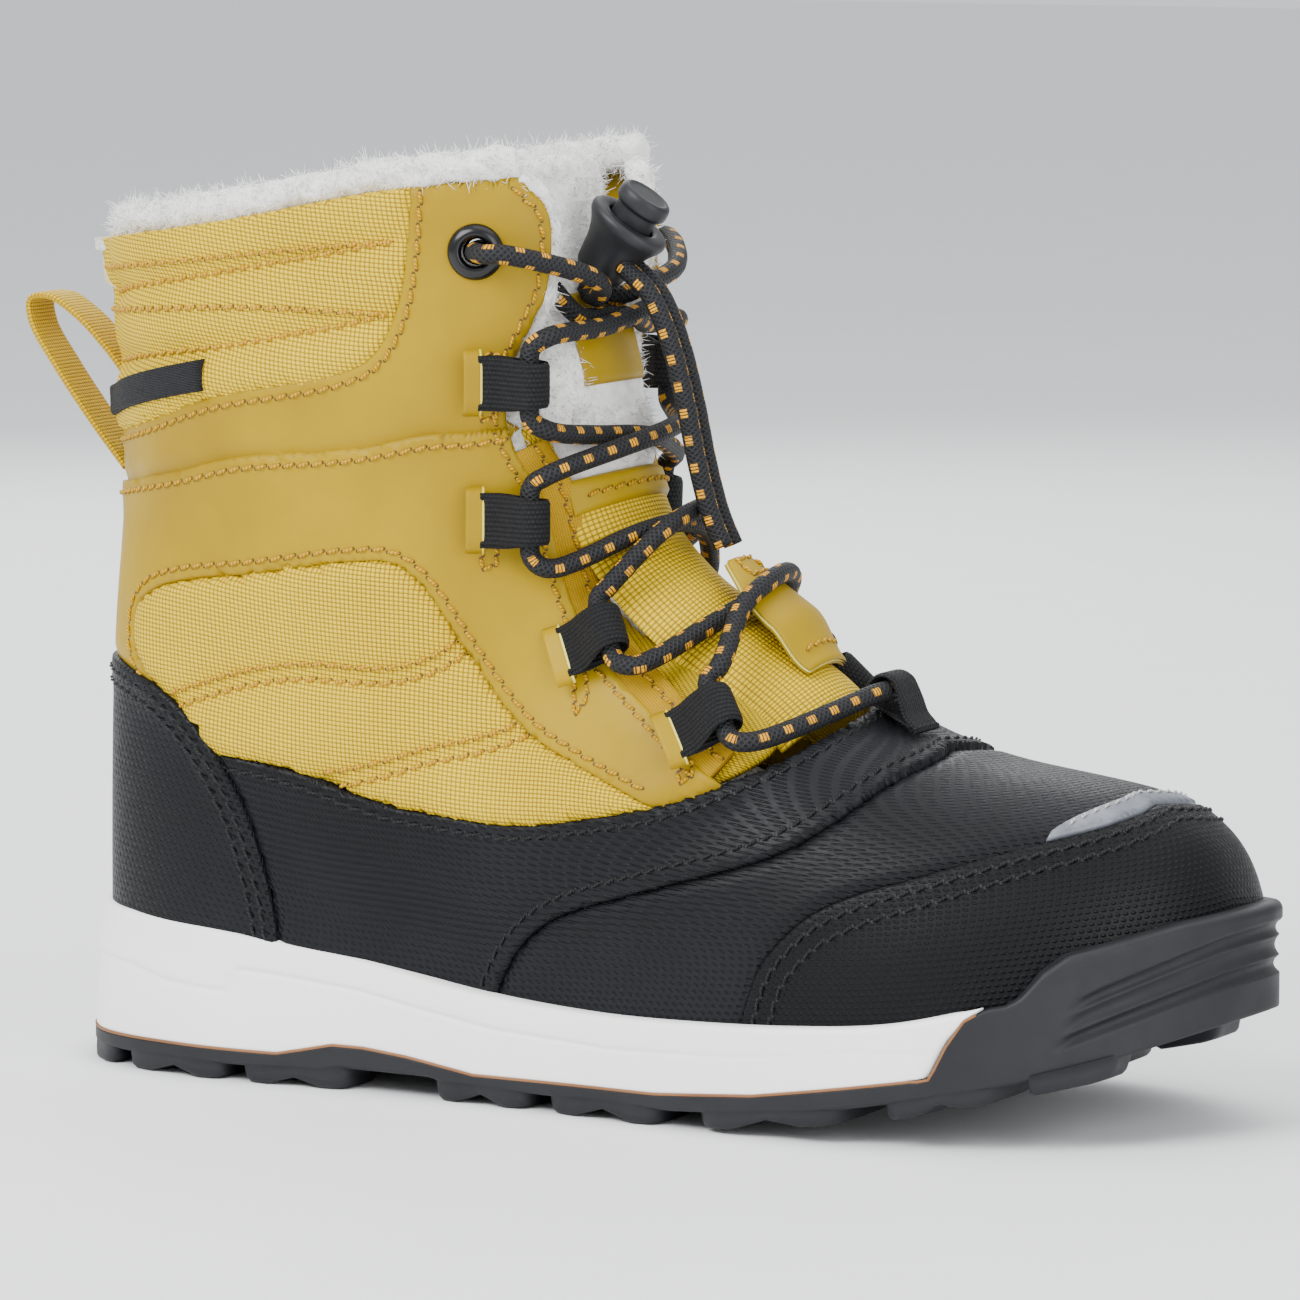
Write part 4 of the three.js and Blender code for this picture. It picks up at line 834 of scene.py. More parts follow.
    def height(self, chart):
        """How far the panel's face stands off the skin."""
        points = skin.on(chart)
        within = inside(chart, self.outline)
        made = np.zeros(len(chart))
        for run, line in zip(self.runs, self.lines):
            if run.kind == "sunk":
                continue
            away = line_distance(points, line)
            if run.kind == "under":
                signed = np.where(within, away, -away)
                made -= LAP * (1 - smoothstep(signed, -0.6, 3.0))
            elif run.kind == "over":
                made += self.raise_by * (1 - smoothstep(away, 1.0, 7.0))
        for line, depth, width in self.dents:
            away = line_distance(points, skin.on(line))
            made -= depth * np.exp(-(away / width) ** 2)
            made += self.puff * (1 - np.exp(-(away / 9.0) ** 2)) / max(len(self.dents), 1)
        if self.swell:
            made += self.swell(chart, points)
        return made

    def mesh(self, name, flat, loops, holes, material, body):
        wanted = [(loop[k], loop[(k + 1) % len(loop)]) for loop in loops for k in range(len(loop))]
        made = delaunay_2d_cdt([Vector(p) for p in flat * CHART_SIZE], wanted, [], 1, 1e-6)
        chart = np.array([tuple(p) for p in made[0]]) / CHART_SIZE
        faces = [tuple(face) for face in made[2]]
        for u, t, radius in holes:
            centres = np.array([chart[list(face)].mean(0) for face in faces])
            away = np.linalg.norm(skin.on(centres) - skin.at(u, t), axis=1)
            faces = [face for face, d in zip(faces, away) if d > radius * 0.96]
        points = skin.on(chart)
        out = self.height(chart)
        rounding = np.clip(line_distance(points, self.edge_line) / 0.85, 0, 1)
        out -= 0.55 * (1 - np.sqrt(1 - (1 - rounding) ** 2))
        place = skin.on(chart, out)
        a, b = skin.metric(chart[:, 0], chart[:, 1], self.centre)
        uv = np.stack([a, b], -1)
        if self.deep:
            self.piece = self.closed(name, chart, out, uv, faces, material, body)
            return
        # the rim goes down from the outline to the panel's back
        border = {}
        for face in faces:
            for k in range(len(face)):
                border[(face[k], face[(k + 1) % len(face)])] = face
        rim = [edge for edge in border if (edge[1], edge[0]) not in border]
        ends = sorted({i for edge in rim for i in edge})
        copy = {i: len(place) + k for k, i in enumerate(ends)}
        back = skin.at(chart[ends, 0], chart[ends, 1], np.minimum(out[ends] - 1.0, -THICK * 0.75))
        place = np.vstack([place, back])
        uv = np.stack([np.concatenate([a, a[ends]]), np.concatenate([b, b[ends] - THICK])], -1)
        faces += [(i, copy[i], copy[j], j) for i, j in rim]
        faces = [face[::-1] for face in faces]
        self.piece = make_piece(name, place, faces, material, body, uv)

    def closed(self, name, chart, out, uv, faces, material, body):
        """The panel with a back face as well; inner gives its relief."""
        behind = skin.on(chart, out - self.deep)
        if self.inner is not None:
            behind = skin.on(chart, out - self.deep - self.inner(behind))
        border = set((face[k], face[(k + 1) % len(face)]) for face in faces for k in range(len(face)))
        rim = [edge for edge in border if (edge[1], edge[0]) not in border]
        count = len(chart)
        made = [face[::-1] for face in faces] + [tuple(i + count for i in face) for face in faces]
        made += [(j, j + count, i + count, i) for i, j in rim]
        place = np.vstack([skin.on(chart, out), behind])
        base = np.vstack([skin.on(chart)] * 2)
        astray = field(*place.T) > field(*base.T) - 0.5
        place[astray] = 2 * base[astray] - place[astray]
        return make_piece(name, place, made, material, body, np.vstack([uv, uv]))

    def surface(self, chart, lift=0.0):
        """Points on the panel's face."""
        chart = np.asarray(chart, float)
        return skin.on(chart, self.height(chart) + lift)


# ------------------------------------------------------------------ stitches
def stitch_line(shapes, path, normals, pitch=3.1, length=2.35, radius=0.36, slant=0.22, hole=True):
    """Adds thread stitches along a path that lies on a surface, each with dark discs of painted shade at its
    needle holes.
    """
    lengths = lengths_along(path)
    count = int(lengths[-1] / pitch)
    if count < 1:
        return
    pitch = lengths[-1] / count

    def read(values, at):
        return np.stack([np.interp(at, lengths, values[:, k]) for k in range(3)], -1)
    shares = np.array([0, 0.12, 0.3, 0.5, 0.7, 0.88, 1.0])
    rise = np.array([-0.32, 0.0, 0.2, 0.26, 0.2, 0.0, -0.32]) * radius / 0.36
    fat = np.array([0.45, 0.85, 1.0, 1.05, 1.0, 0.85, 0.45])
    for k in range(count):
        start = k * pitch + (pitch - length) / 2
        at = start + shares * length
        line, normal = read(path, at), read(normals, at)
        way = read(path, [start + length])[0] - read(path, [start])[0]
        across = np.cross(normal.mean(0), way)
        across /= max(np.linalg.norm(across), 1e-9)
        line = line + normal * (rise + 0.06)[:, None] + across * ((shares - 0.5) * slant * length)[:, None]
        points, faces, uv = tube_shape(line, radius * fat, 6, normal[0])
        shapes.add(points, faces, np.stack([uv[:, 1] + k, uv[:, 0] * 3], -1))
        # each needle hole is a flat dark disc: painted shade, not a cut hole
        if hole:
            for end in (0, -1):
                spot, up = line[end], normal[end]
                spot = spot - up * (rise[end] + 0.02)
                one = way / max(np.linalg.norm(way), 1e-9)
                two = np.cross(up, one)
                a = np.arange(7) * math.tau / 7
                ring = spot + (np.cos(a)[:, None] * one + np.sin(a)[:, None] * two) * 0.38
                shapes.add(ring, [tuple(range(7))], slot=1)


def sew(shapes, panel, chart_line, offset=0.0, lift=0.0, **settings):
    """Stitches on a panel, along a chart line that is moved sideways by offset millimetres."""
    fine = even_chart(chart_line, 1.0)
    if offset:
        fine = skin.shift(fine, offset)
    path = panel.surface(fine, lift)
    stitch_line(shapes, path, skin.normal(fine[:, 0], fine[:, 1]), **settings)


# ------------------------------------------------------------------ seams, as in the CAD
def chart_line(*points):
    """A smooth line through chart points."""
    made = spline(points)
    made[:, 1] = np.clip(made[:, 1], 0, 1)
    return made


UNDER, OVER = -0.02, 1.02
SEAMS = {
    "toe_cap": chart_line([0, 0.184], [0.081, 0.18], [0.154, 0.18], [0.22, 0.179], [0.261, 0.177],
                          [0.297, 0.16], [0.327, 0.115], [0.341, 0.05], [0.345, UNDER]),
    "saddle": chart_line([0, 0.28], [0.139, 0.277], [0.212, 0.268], [0.299, 0.248], [0.391, 0.243],
                         [0.459, 0.228], [0.508, 0.178], [0.54, 0.09], [0.552, UNDER]),
    "heel_low": chart_line([0.8, UNDER], [0.803, 0.1], [0.825, 0.223], [0.855, 0.31]),
    "heel_middle": chart_line([0.855, 0.31], [0.88, 0.352], [0.905, 0.383]),
    "heel_top": chart_line([0.905, 0.383], [0.95, 0.405], [1, 0.41]),
    "guard_rear": chart_line([0.855, 0.31], [0.745, 0.351], [0.616, 0.385], [0.5, 0.37], [0.371, 0.339]),
    "guard_front": chart_line([0.371, 0.339], [0.335, 0.336], [0.3, 0.335]),
    "throat_base": chart_line([0.3, 0.335], [0.2, 0.333], [0.1, 0.335], [0, 0.337]),
    "window": chart_line([0.905, 0.383], [0.922, 0.44], [0.912, 0.51], [0.823, 0.567], [0.725, 0.641],
                         [0.66, 0.657], [0.579, 0.588], [0.487, 0.497], [0.412, 0.397], [0.371, 0.339]),
    "collar_low": chart_line([1, 0.645], [0.9, 0.675], [0.818, 0.72], [0.665, 0.789], [0.57, 0.802],
                             [0.488, 0.805]),
    "collar_top": chart_line([1, 0.722], [0.92, 0.745], [0.846, 0.787], [0.738, 0.835], [0.694, 0.861],
                             [0.669, 0.901], [0.658, 0.95], [0.653, OVER]),
    "eyestay": chart_line([0.3, 0.335], [0.313, 0.369], [0.326, 0.448], [0.343, 0.541], [0.368, 0.651],
                          [0.398, 0.727], [0.45, 0.77], [0.488, 0.805]),
    "wing": chart_line([0.488, 0.805], [0.489, 0.845], [0.441, 0.883], [0.397, 0.912], [0.383, 0.95],
                       [0.4, 0.975], [0.445, 0.99], [0.49, 1.01]),
}
QUILTING = [chart_line([0.972, 0.921], [0.854, 0.936], [0.764, 0.947], [0.672, 0.956]),
            chart_line([0.976, 0.823], [0.858, 0.843], [0.766, 0.872], [0.680, 0.896])]
PLEATS = [chart_line([0.895, 0.362], [0.755, 0.493], [0.568, 0.591]),
          chart_line([0.752, 0.351], [0.629, 0.460], [0.469, 0.481])]
THROAT_LINING = [[0.002, 0], [0.998, 0], [0.998, 1], [0.63, 1], [0.63, 0.88], [0.57, 0.8], [0.5, 0.72],
                 [0.45, 0.6], [0.42, 0.5], [0.4, 0.42], [0.37, 0.35], [0.3, 0.322], [0.002, 0.322]]


def back(line):
    return line[::-1]


def mirror(line):
    return line * [-1, 1]


def past_heel(line):
    """The line's mirror image, carried on round the heel."""
    return np.stack([2 - line[:, 0], line[:, 1]], -1)


def straight(a, b):
    return np.array([a, b], float)


def over_toe(line):
    """A lateral line and its mirror image, joined over the toe."""
    return np.vstack([back(line), mirror(line)[1:]])


def on_side(runs, side):
    """The runs of a lateral panel, or their mirror image on the medial side."""
    if side > 0:
        return runs
    return [Run(mirror(run.points), run.kind) for run in runs]


# ------------------------------------------------------------------ the upper
def add_toe_and_guards(black, white):
    """The black panels, their stitching and the reflective strip."""
    s = SEAMS
    cap_end, saddle_end, heel_end = s["toe_cap"][-1][0], s["saddle"][-1][0], s["heel_low"][0][0]
    cap = Panel("toe_cap_skin", [Run(over_toe(s["toe_cap"]), "over"),
                                 Run(straight([-cap_end, 0], [cap_end, 0]), "sunk")],
                "pebbled_black", 1.5, 0.25)
    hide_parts("toe_cap")
    vamp = Panel("vamp_skin", [Run(over_toe(s["saddle"]), "under"),
                               Run(straight([-saddle_end, 0], [-cap_end, 0]), "sunk"),
                               Run(back(over_toe(s["toe_cap"])), "under"),
                               Run(straight([cap_end, 0], [saddle_end, 0]), "sunk")],
                 "dimpled_black", 1.6)
    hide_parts("vamp")
    guard = Panel("saddle_guard_skin", [
        Run(over_toe(s["saddle"]), "over"),
        Run(straight([-saddle_end, 0], [-heel_end, 0]), "sunk"),
        Run(mirror(s["heel_low"]), "under"),
        Run(mirror(s["guard_rear"]), "over"),
        Run(mirror(s["guard_front"]), "over"),
        Run(mirror(s["throat_base"]), "over"),
        Run(back(s["throat_base"]), "over"),
        Run(back(s["guard_front"]), "over"),
        Run(back(s["guard_rear"]), "over"),
        Run(back(s["heel_low"]), "under"),
        Run(straight([heel_end, 0], [saddle_end, 0]), "sunk")], "dimpled_black", 1.7, 0.45)
    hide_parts("saddle_guard")
    heel = Panel("heel_guard_skin", [
        Run(s["heel_low"], "over"), Run(s["heel_middle"], "over"), Run(s["heel_top"], "over"),
        Run(past_heel(back(s["heel_top"])), "over"), Run(past_heel(back(s["heel_middle"])), "over"),
        Run(past_heel(back(s["heel_low"])), "over"),
        Run(straight([2 - heel_end, 0], [heel_end, 0]), "sunk")], "dimpled_black", 1.7, 0.4)
    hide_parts("heel_guard")
    for offset in (2.2, 5.4):
        sew(black, cap, over_toe(s["toe_cap"]), offset, radius=0.3)
    sew(black, guard, over_toe(s["saddle"]), -3.2, radius=0.28)
    rim = np.vstack([s["guard_rear"], s["guard_front"][1:], s["throat_base"][1:]])
    rim = np.vstack([rim, mirror(back(rim))[1:]])
    sew(black, guard, rim, 2.6, radius=0.3)
    whole = np.vstack([s["heel_low"], s["heel_middle"][1:], s["heel_top"][1:]])
    whole = np.vstack([whole, past_heel(back(whole))[1:]])
    for offset in (2.0, 4.4):
        sew(black, heel, whole, -offset, radius=0.3)
    half = 0.124
    u = np.linspace(half, -half, 41)
    seam = over_toe(s["toe_cap"])
    seam_line = np.stack([u, np.interp(-u, -seam[:, 0], seam[:, 1])], -1)
    tall = 4.6 * (1 - (np.abs(u) / half) ** 3) ** 0.6 + 0.3
    lower, upper = skin.shift(seam_line, -0.7), skin.shift(seam_line, -0.7 - tall)
    strip = Panel("reflective_strip_skin", [Run(lower, "open"), Run(back(upper), "open")],
                  "reflective", 1.2, 0.0, swell=lambda chart, points: 0.5)
    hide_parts("reflective_strip")
    sew(white, strip, upper[3:-3], 1.3, radius=0.26, pitch=2.6, length=1.9, hole=False)


def add_quarters(yellow):
    """The yellow side panels with their stitching."""
    s = SEAMS
    for side, name in ((1, "lateral"), (-1, "medial")):
        turn = (lambda line: line) if side > 0 else mirror
        fabric = Panel(f"quarter_fabric_{name}_skin", on_side([
            Run(s["guard_rear"], "under"), Run(back(s["window"]), "under"),
            Run(back(s["heel_middle"]), "under")], side), "woven_yellow", 1.6,
            dents=[(turn(line), 1.0, 2.6) for line in PLEATS], puff=1.5)
        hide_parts(f"quarter_fabric_{name}")
        for line in PLEATS:
            for offset in (-1.5, 1.5):
                sew(yellow, fabric, turn(line), offset, radius=0.4)
        overlay = Panel(f"quarter_overlay_{name}_skin", on_side([
            Run(s["heel_top"], "under"), Run(straight([1, 0.41], [1, 0.645]), "open"),
            Run(s["collar_low"], "over"), Run(back(s["eyestay"]), "open"),
            Run(back(s["guard_front"]), "under"), Run(back(s["window"]), "over")], side),
            "smooth_yellow", 1.8, 0.3)
        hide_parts(f"quarter_overlay_{name}")
        sew(yellow, overlay, turn(s["window"][3:-2]), -2.5 * side)
        sew(yellow, overlay, turn(s["collar_low"][1:]), 2.4 * side)
        sew(yellow, overlay, turn(s["eyestay"][6:]), -2.3 * side)
        spot = EYELET_SPOT * [side, 1]
        band = Panel(f"collar_band_{name}_skin", on_side([
            Run(back(s["collar_low"]), "under"), Run(straight([1, 0.645], [1, 0.722]), "open"),
            Run(s["collar_top"], "over"), Run(straight([0.653, 1], [0.49, 1]), "open"),
            Run(back(s["wing"]), "open")], side), "smooth_yellow", 1.7, 0.3,
            holes=[(spot[0], spot[1], 3.0)])
        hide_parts(f"collar_band_{name}")
        sew(yellow, band, turn(s["collar_top"][1:]), 2.4 * side)
        sew(yellow, band, turn(s["wing"][:-4]), -2.2 * side)
        for k, box in enumerate(LOOP_BOXES):
            add_loop_box(yellow, overlay, band, box, side, k)


def add_loop_box(yellow, overlay, band, box, side, k):
    """The stitched box in front of the slot that a lace loop comes out of."""
    panel = band if k == 0 else overlay
    corners = np.array(box) * [side, 1]
    sew(yellow, panel, np.vstack([corners, corners[:1]]), radius=0.32, pitch=2.3, length=1.8)


def add_collar(yellow):
    """The quilted cloth round the ankle."""
    s = SEAMS
    lines = [np.vstack([line, past_heel(back(line))]) for line in QUILTING]
    fabric = Panel("collar_fabric_skin", [
        Run(back(s["collar_top"]), "under"), Run(past_heel(s["collar_top"]), "under"),
        Run(straight([2 - 0.653, 1], [0.653, 1]), "open")], "woven_yellow", 1.6,
        dents=[(line, 1.5, 2.6) for line in lines], puff=2.0)
    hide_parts("collar_fabric")
    for line in lines:
        sew(yellow, fabric, line, radius=0.42)


# ------------------------------------------------------------------ ribbons
def ribbon_shape(line, across, widths, thickness, steps=10):
    """Points, faces and UV numbers of a woven band that follows a line, with rounded edges."""
    way = np.gradient(line, axis=0)
    way /= np.linalg.norm(way, axis=1, keepdims=True)
    across = np.broadcast_to(np.asarray(across, float), line.shape)
    across = across - way * np.sum(across * way, axis=1, keepdims=True)
    across /= np.linalg.norm(across, axis=1, keepdims=True)
    up = np.cross(across, way)
    widths = np.broadcast_to(np.asarray(widths, float), (len(line),))
    half = thickness / 2
    section = [(-1 + 2 * i / steps, half) for i in range(steps + 1)]
    section += [(1 - 2 * i / steps, -half) for i in range(steps + 1)]
    sides = len(section)
    points, uv = [], []
    lengths = lengths_along(line)
    for k in range(len(line)):
        for share, lift in section:
            edge = math.sqrt(max(1 - abs(share) ** 8, 0.0))
            place = line[k] + across[k] * share * widths[k] / 2
            points.append(place + up[k] * lift * (0.35 + 0.65 * edge))
            uv.append((lengths[k], share * widths[k] / 2))
    faces = ring_faces(len(line), sides)
    faces.append(tuple(range(sides - 1, -1, -1)))
    faces.append(tuple((len(line) - 1) * sides + i for i in range(sides)))
    return np.array(points), faces, np.array(uv)


# ------------------------------------------------------------------ lace loops
LACE_RADIUS, WEBBING, LOOP_WIDTH = 1.9, 1.2, 10.5
TUNNELS = [([0.447, 0.818], [0.451, 0.867]), ([0.434, 0.676], [0.433, 0.744]),
           ([0.32, 0.496], [0.295, 0.557]), ([0.265, 0.365], [0.245, 0.409])]
THROAT_TUNNEL = ([0.045, 0.33], [-0.045, 0.33])
TUNNEL_RADIUS = LACE_RADIUS + 0.8
TAB_LIFT = 0.8
TUNNEL_OUT = TAB_LIFT + WEBBING + TUNNEL_RADIUS
EYELET_SPOT = np.array([0.563, 0.945])
LOOP_BOXES = [
    [[0.548, 0.812], [0.512, 0.814], [0.510, 0.866], [0.544, 0.866]],
    [[0.538, 0.668], [0.505, 0.670], [0.505, 0.738], [0.536, 0.738]],
    [[0.408, 0.470], [0.385, 0.480], [0.350, 0.560], [0.372, 0.552]],
    [[0.337, 0.352], [0.320, 0.354], [0.292, 0.418], [0.308, 0.414]],
]


class Frame:
    """A loop's directions: along its tunnel, out of the skin, and across towards the throat."""

    def __init__(self, tunnel, side):
        (u0, t0), (u1, t1) = tunnel
        low, high = skin.at(side * u0, t0), skin.at(side * u1, t1)
        self.along = (high - low) / np.linalg.norm(high - low)
        u, t = side * (u0 + u1) / 2, (t0 + t1) / 2
        self.centre = skin.at(u, t)
        out = skin.normal(u, t)
        out = out - self.along * (out @ self.along)
        self.out = out / np.linalg.norm(out)
        self.across = np.cross(self.along, self.out)
        if self.across @ np.array([0.3, side, 0.3]) < 0:
            self.across = -self.across

    def at(self, across, out, along=0.0):
        return self.centre + self.across * across + self.out * out + self.along * along


def throat_frame():
    made = Frame(THROAT_TUNNEL, 1)
    if made.across[0] > 0:
        made.across = -made.across
    return made


def add_loop(name, node, loop):
    """Webbing that comes from under the leather, wraps the lace and goes back on itself."""
    middle = TUNNEL_RADIUS + WEBBING * 0.5 - 0.25
    angles = np.radians(np.linspace(-90, 118, 18))
    turn = [loop.at(middle * math.cos(a), TUNNEL_OUT + middle * math.sin(a)) for a in angles]
    lower = [loop.at(x, TAB_LIFT + WEBBING * 0.5 + 0.25) for x in (-9.6, -7.5, -5, -2.6)]
    upper = [loop.at(x, out) for x, out in ((-4.2, 4.9), (-6.4, 2.7), (-8.3, 1.9), (-9.8, 1.1))]
    line = even(cord_line(np.array(lower + turn + upper), 6), 0.6)
    reach = (line - loop.centre) @ loop.across
    widths = LOOP_WIDTH - 2.0 * smoothstep(reach, -6.5, 1.5)
    points, faces, uv = ribbon_shape(line, loop.along, widths, WEBBING * 0.85)
    piece = make_piece(name, points, faces, "black_webbing", "root", uv)
    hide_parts(node)


def add_slot(name, loop):
    """The lip of the slot that the webbing comes out of, with its pale cut edge."""
    along = np.linspace(-1, 1, 13) * (LOOP_WIDTH / 2 + 0.9)
    rise = 1.9 - 1.3 * np.abs(along / along[-1]) ** 6
    for part, back_by, lift, wide, material in (("lip", -10.6, 0.0, 3.4, "smooth_yellow"),
                                                ("edge", -9.0, -0.02, 0.5, "cut_edge")):
        line = np.array([loop.at(back_by, out + lift, a) for a, out in zip(along, rise)])
        points, faces, uv = ribbon_shape(line, loop.across, wide, 0.7)
        make_piece(f"slot_{part}_{name}", points, faces, material, "root", uv)


def add_loops():
    """The eight side loops with their slots, and the one at the bottom of the throat."""
    for side, name in ((1, "lateral"), (-1, "medial")):
        for k, tunnel in enumerate(TUNNELS):
            add_loop(f"webbing_loop_{name}_{k + 1}", f"lace_loop_{name}_{k + 1}", Frame(tunnel, side))
            add_slot(f"{name}_{k + 1}", Frame(tunnel, side))
    add_loop("webbing_loop_throat", "lace_loop_throat", throat_frame())


# ------------------------------------------------------------------ tongue line
TONGUE_HALF, TONGUE_THICK = 18.5, 2.2
TONGUE_LINE = [[128.5, 76.3], [122, 82], [112, 88.5], [103, 94.5], [94, 101], [87, 108], [82.5, 117],
               [79.5, 128], [77, 140], [74, 150], [70.8, 160], [69.8, 170], [69, 179]]
tongue_middle = even(cord_line(np.array([[x, 0, z] for x, z in TONGUE_LINE], float), 24), 0.25)


def tongue_spot(s, y, lift):
    """Points on the tongue: share of its length, millimetres from its middle, and height."""
    s, y, lift = np.broadcast_arrays(*(np.asarray(v, float) for v in (s, y, lift)))
    at = np.linspace(0, 1, len(tongue_middle))
    slope = np.gradient(tongue_middle, axis=0)
    slope /= np.linalg.norm(slope, axis=1, keepdims=True)
    x, z, dx, dz = (np.interp(s, at, v) for v in (tongue_middle[:, 0], tongue_middle[:, 2],
                                                  slope[:, 0], slope[:, 2]))
    crown = 10 - 4 * smoothstep(s, 0.2, 0.6)
    up = lift - crown * (y / TONGUE_HALF) ** 2
    return np.stack([x + dz * up, y, z - dx * up], -1)


# ------------------------------------------------------------------ lace
CROSSINGS = [(0.735, 3.9, 8.1), (0.555, 2.6, 6.8), (0.395, 3.9, 8.1), (0.215, 2.5, 9.2)]
STRAND_ENDS = {1: [[81, -18.5, 156], [80.4, -13, 153.4], [77.6, -10.2, 151.6], [75.2, -9.3, 152.8],
                   [76.5, -9.3, 154.7]],
               -1: [[81, 16.5, 156], [81, 4, 153.4], [77.8, -3, 151.4], [75.2, -4.7, 152.8],
                    [76.5, -4.7, 154.7]]}
TAIL_LINE = np.array([[82.7, -7, 157.5], [85.1, -7, 155.7], [87.8, -6.8, 153.2], [90.3, -6.4, 148.6],
                      [92.8, -5.8, 141.5], [95, -4.8, 131.5], [96.8, -3.6, 120.5], [98.9, -2, 110.5],
                      [101.1, -1, 104.6]])
TAIL_APART = LACE_RADIUS + 0.2
LACE_SIDES = 14


def skin_frame(u, t, towards):
    """A frame on the skin: side, up and out, and its origin."""
    place, out = skin.at(u, t), skin.normal(u, t)
    up = towards - place
    up = up - out * (up @ out)
    up /= np.linalg.norm(up)
    return np.cross(up, out), up, out, place


def eyelet_frame(side):
    u, t = side * EYELET_SPOT[0], EYELET_SPOT[1]
    return skin_frame(u, t, skin.at(u, 1.0) + np.array([0, 0, 5.0]))


def strand_path(side):
    """The CAD's route of one lace strand, from the throat's loop to the toggle."""
    throat = throat_frame()
    mouth = throat.at(0, TUNNEL_OUT)
    points = [mouth * [1, 0, 1] + [0, -side * 0.2, 0],
              mouth * [1, 0, 1] + [0, -side * (LOOP_WIDTH / 2 + 1), 0]]
    hand = side
    for k in (3, 2, 1, 0):
        loop = Frame(TUNNELS[k], hand)
        reach = LOOP_WIDTH / 2 + 1.4
        for along, across in ((-reach - 2.2, 3.2), (-reach, 0), (0, 0), (reach, 0), (reach + 2.2, 3.2)):
            points.append(loop.at(across, TUNNEL_OUT, along))
        at, low, high = CROSSINGS[k]
        rise = high if (k % 2 == 1) == (side > 0) else low
        points += [tongue_spot(at - 0.001 * y, -hand * y, rise) for y in (13, 5, -5, -13)]
        hand = -hand
    across, _, out, place = eyelet_frame(hand)
    points += [skin.at(hand * 0.4, 0.925, -5), skin.at(hand * 0.49, 0.94, -6.4)]
    for height, x in ((-6.5, hand), (-3.8, 0), (1.2, 0), (4.6, hand * 2), (5.2, hand * 6)):
        points.append(place + across * x + out * height)
    return even(cord_line(np.array(points + STRAND_ENDS[hand], float), 10), 1.1)


def add_lace():
    """Two zigzag strands.

    Each is cut where it passes the boot's middle, and its last part runs from the eyelet to the toggle.
    """
    for side, name in ((1, "lateral"), (-1, "medial")):
        line = strand_path(side)
        lengths = lengths_along(line)
        points, _, uv = tube_shape(line, LACE_RADIUS, LACE_SIDES, [0, 0, 1], closed_ends=False)
        wide = LACE_SIDES + 1
        above, late = line[:, 2] > 140, lengths > 0.7 * lengths[-1]
        last = int(np.argmax(np.abs(line[:, 1]) + above * 100 + late * 50))
        halves = {-1: [], 1: [], 0: []}
        for k in range(len(line) - 1):
            hand = 0 if k >= last else (1 if line[k:k + 2, 1].mean() > 0 else -1)
            halves[hand] += [(k * wide + i, k * wide + i + 1, (k + 1) * wide + i + 1, (k + 1) * wide + i)
                             for i in range(wide - 1)]
        halves[0].append(tuple((len(line) - 1) * wide + i for i in range(wide - 1)))
        for hand, part in ((-1, "outer"), (1, "inner"), (0, "end")):
            used = sorted({i for face in halves[hand] for i in face})
            number = {i: k for k, i in enumerate(used)}
            faces = [tuple(number[i] for i in face) for face in halves[hand]]
            piece = make_piece(f"lace_{name}_{part}", points[used], faces, "cord", None, uv[used])
            welded(piece)
            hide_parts(f"lace_{name}")
            if hand:
                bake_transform(piece)
            else:
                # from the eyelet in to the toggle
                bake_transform(piece)


def add_tails():
    """The lace's two ends, which hang from the toggle to the keeper."""
    for side, name in ((1, "lateral"), (-1, "medial")):
        line = TAIL_LINE - np.array([0, side * TAIL_APART, 0])
        path = even(cord_line(line, 12), 1.2)
        points, faces, uv = tube_shape(path, LACE_RADIUS, LACE_SIDES, [0, 1, 0])
        piece = welded(make_piece(f"lace_tail_{name}_braid", points, faces, "cord", None, uv))
        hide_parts(f"lace_tail_{name}")
        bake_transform(piece)


# ------------------------------------------------------------------ soft relief and fleece
def waves(points, size, seed, count=7):
    """A smooth random relief from -1 to 1, with lumps of about that size in millimetres."""
    made = np.zeros(len(points))
    source = np.random.default_rng(seed)
    for _ in range(count):
        way = source.normal(size=3)
        way *= math.tau / (size * 2 * source.uniform(0.7, 1.4)) / np.linalg.norm(way)
        made += np.sin(points @ way + source.uniform(0, math.tau))
    return made / count * 1.8


def fleece_relief(points, seed=3):
    """The lumps of a fleece's pile."""
    return 0.55 * waves(points, 3.2, seed) + 0.4 * waves(points, 1.5, seed + 1)


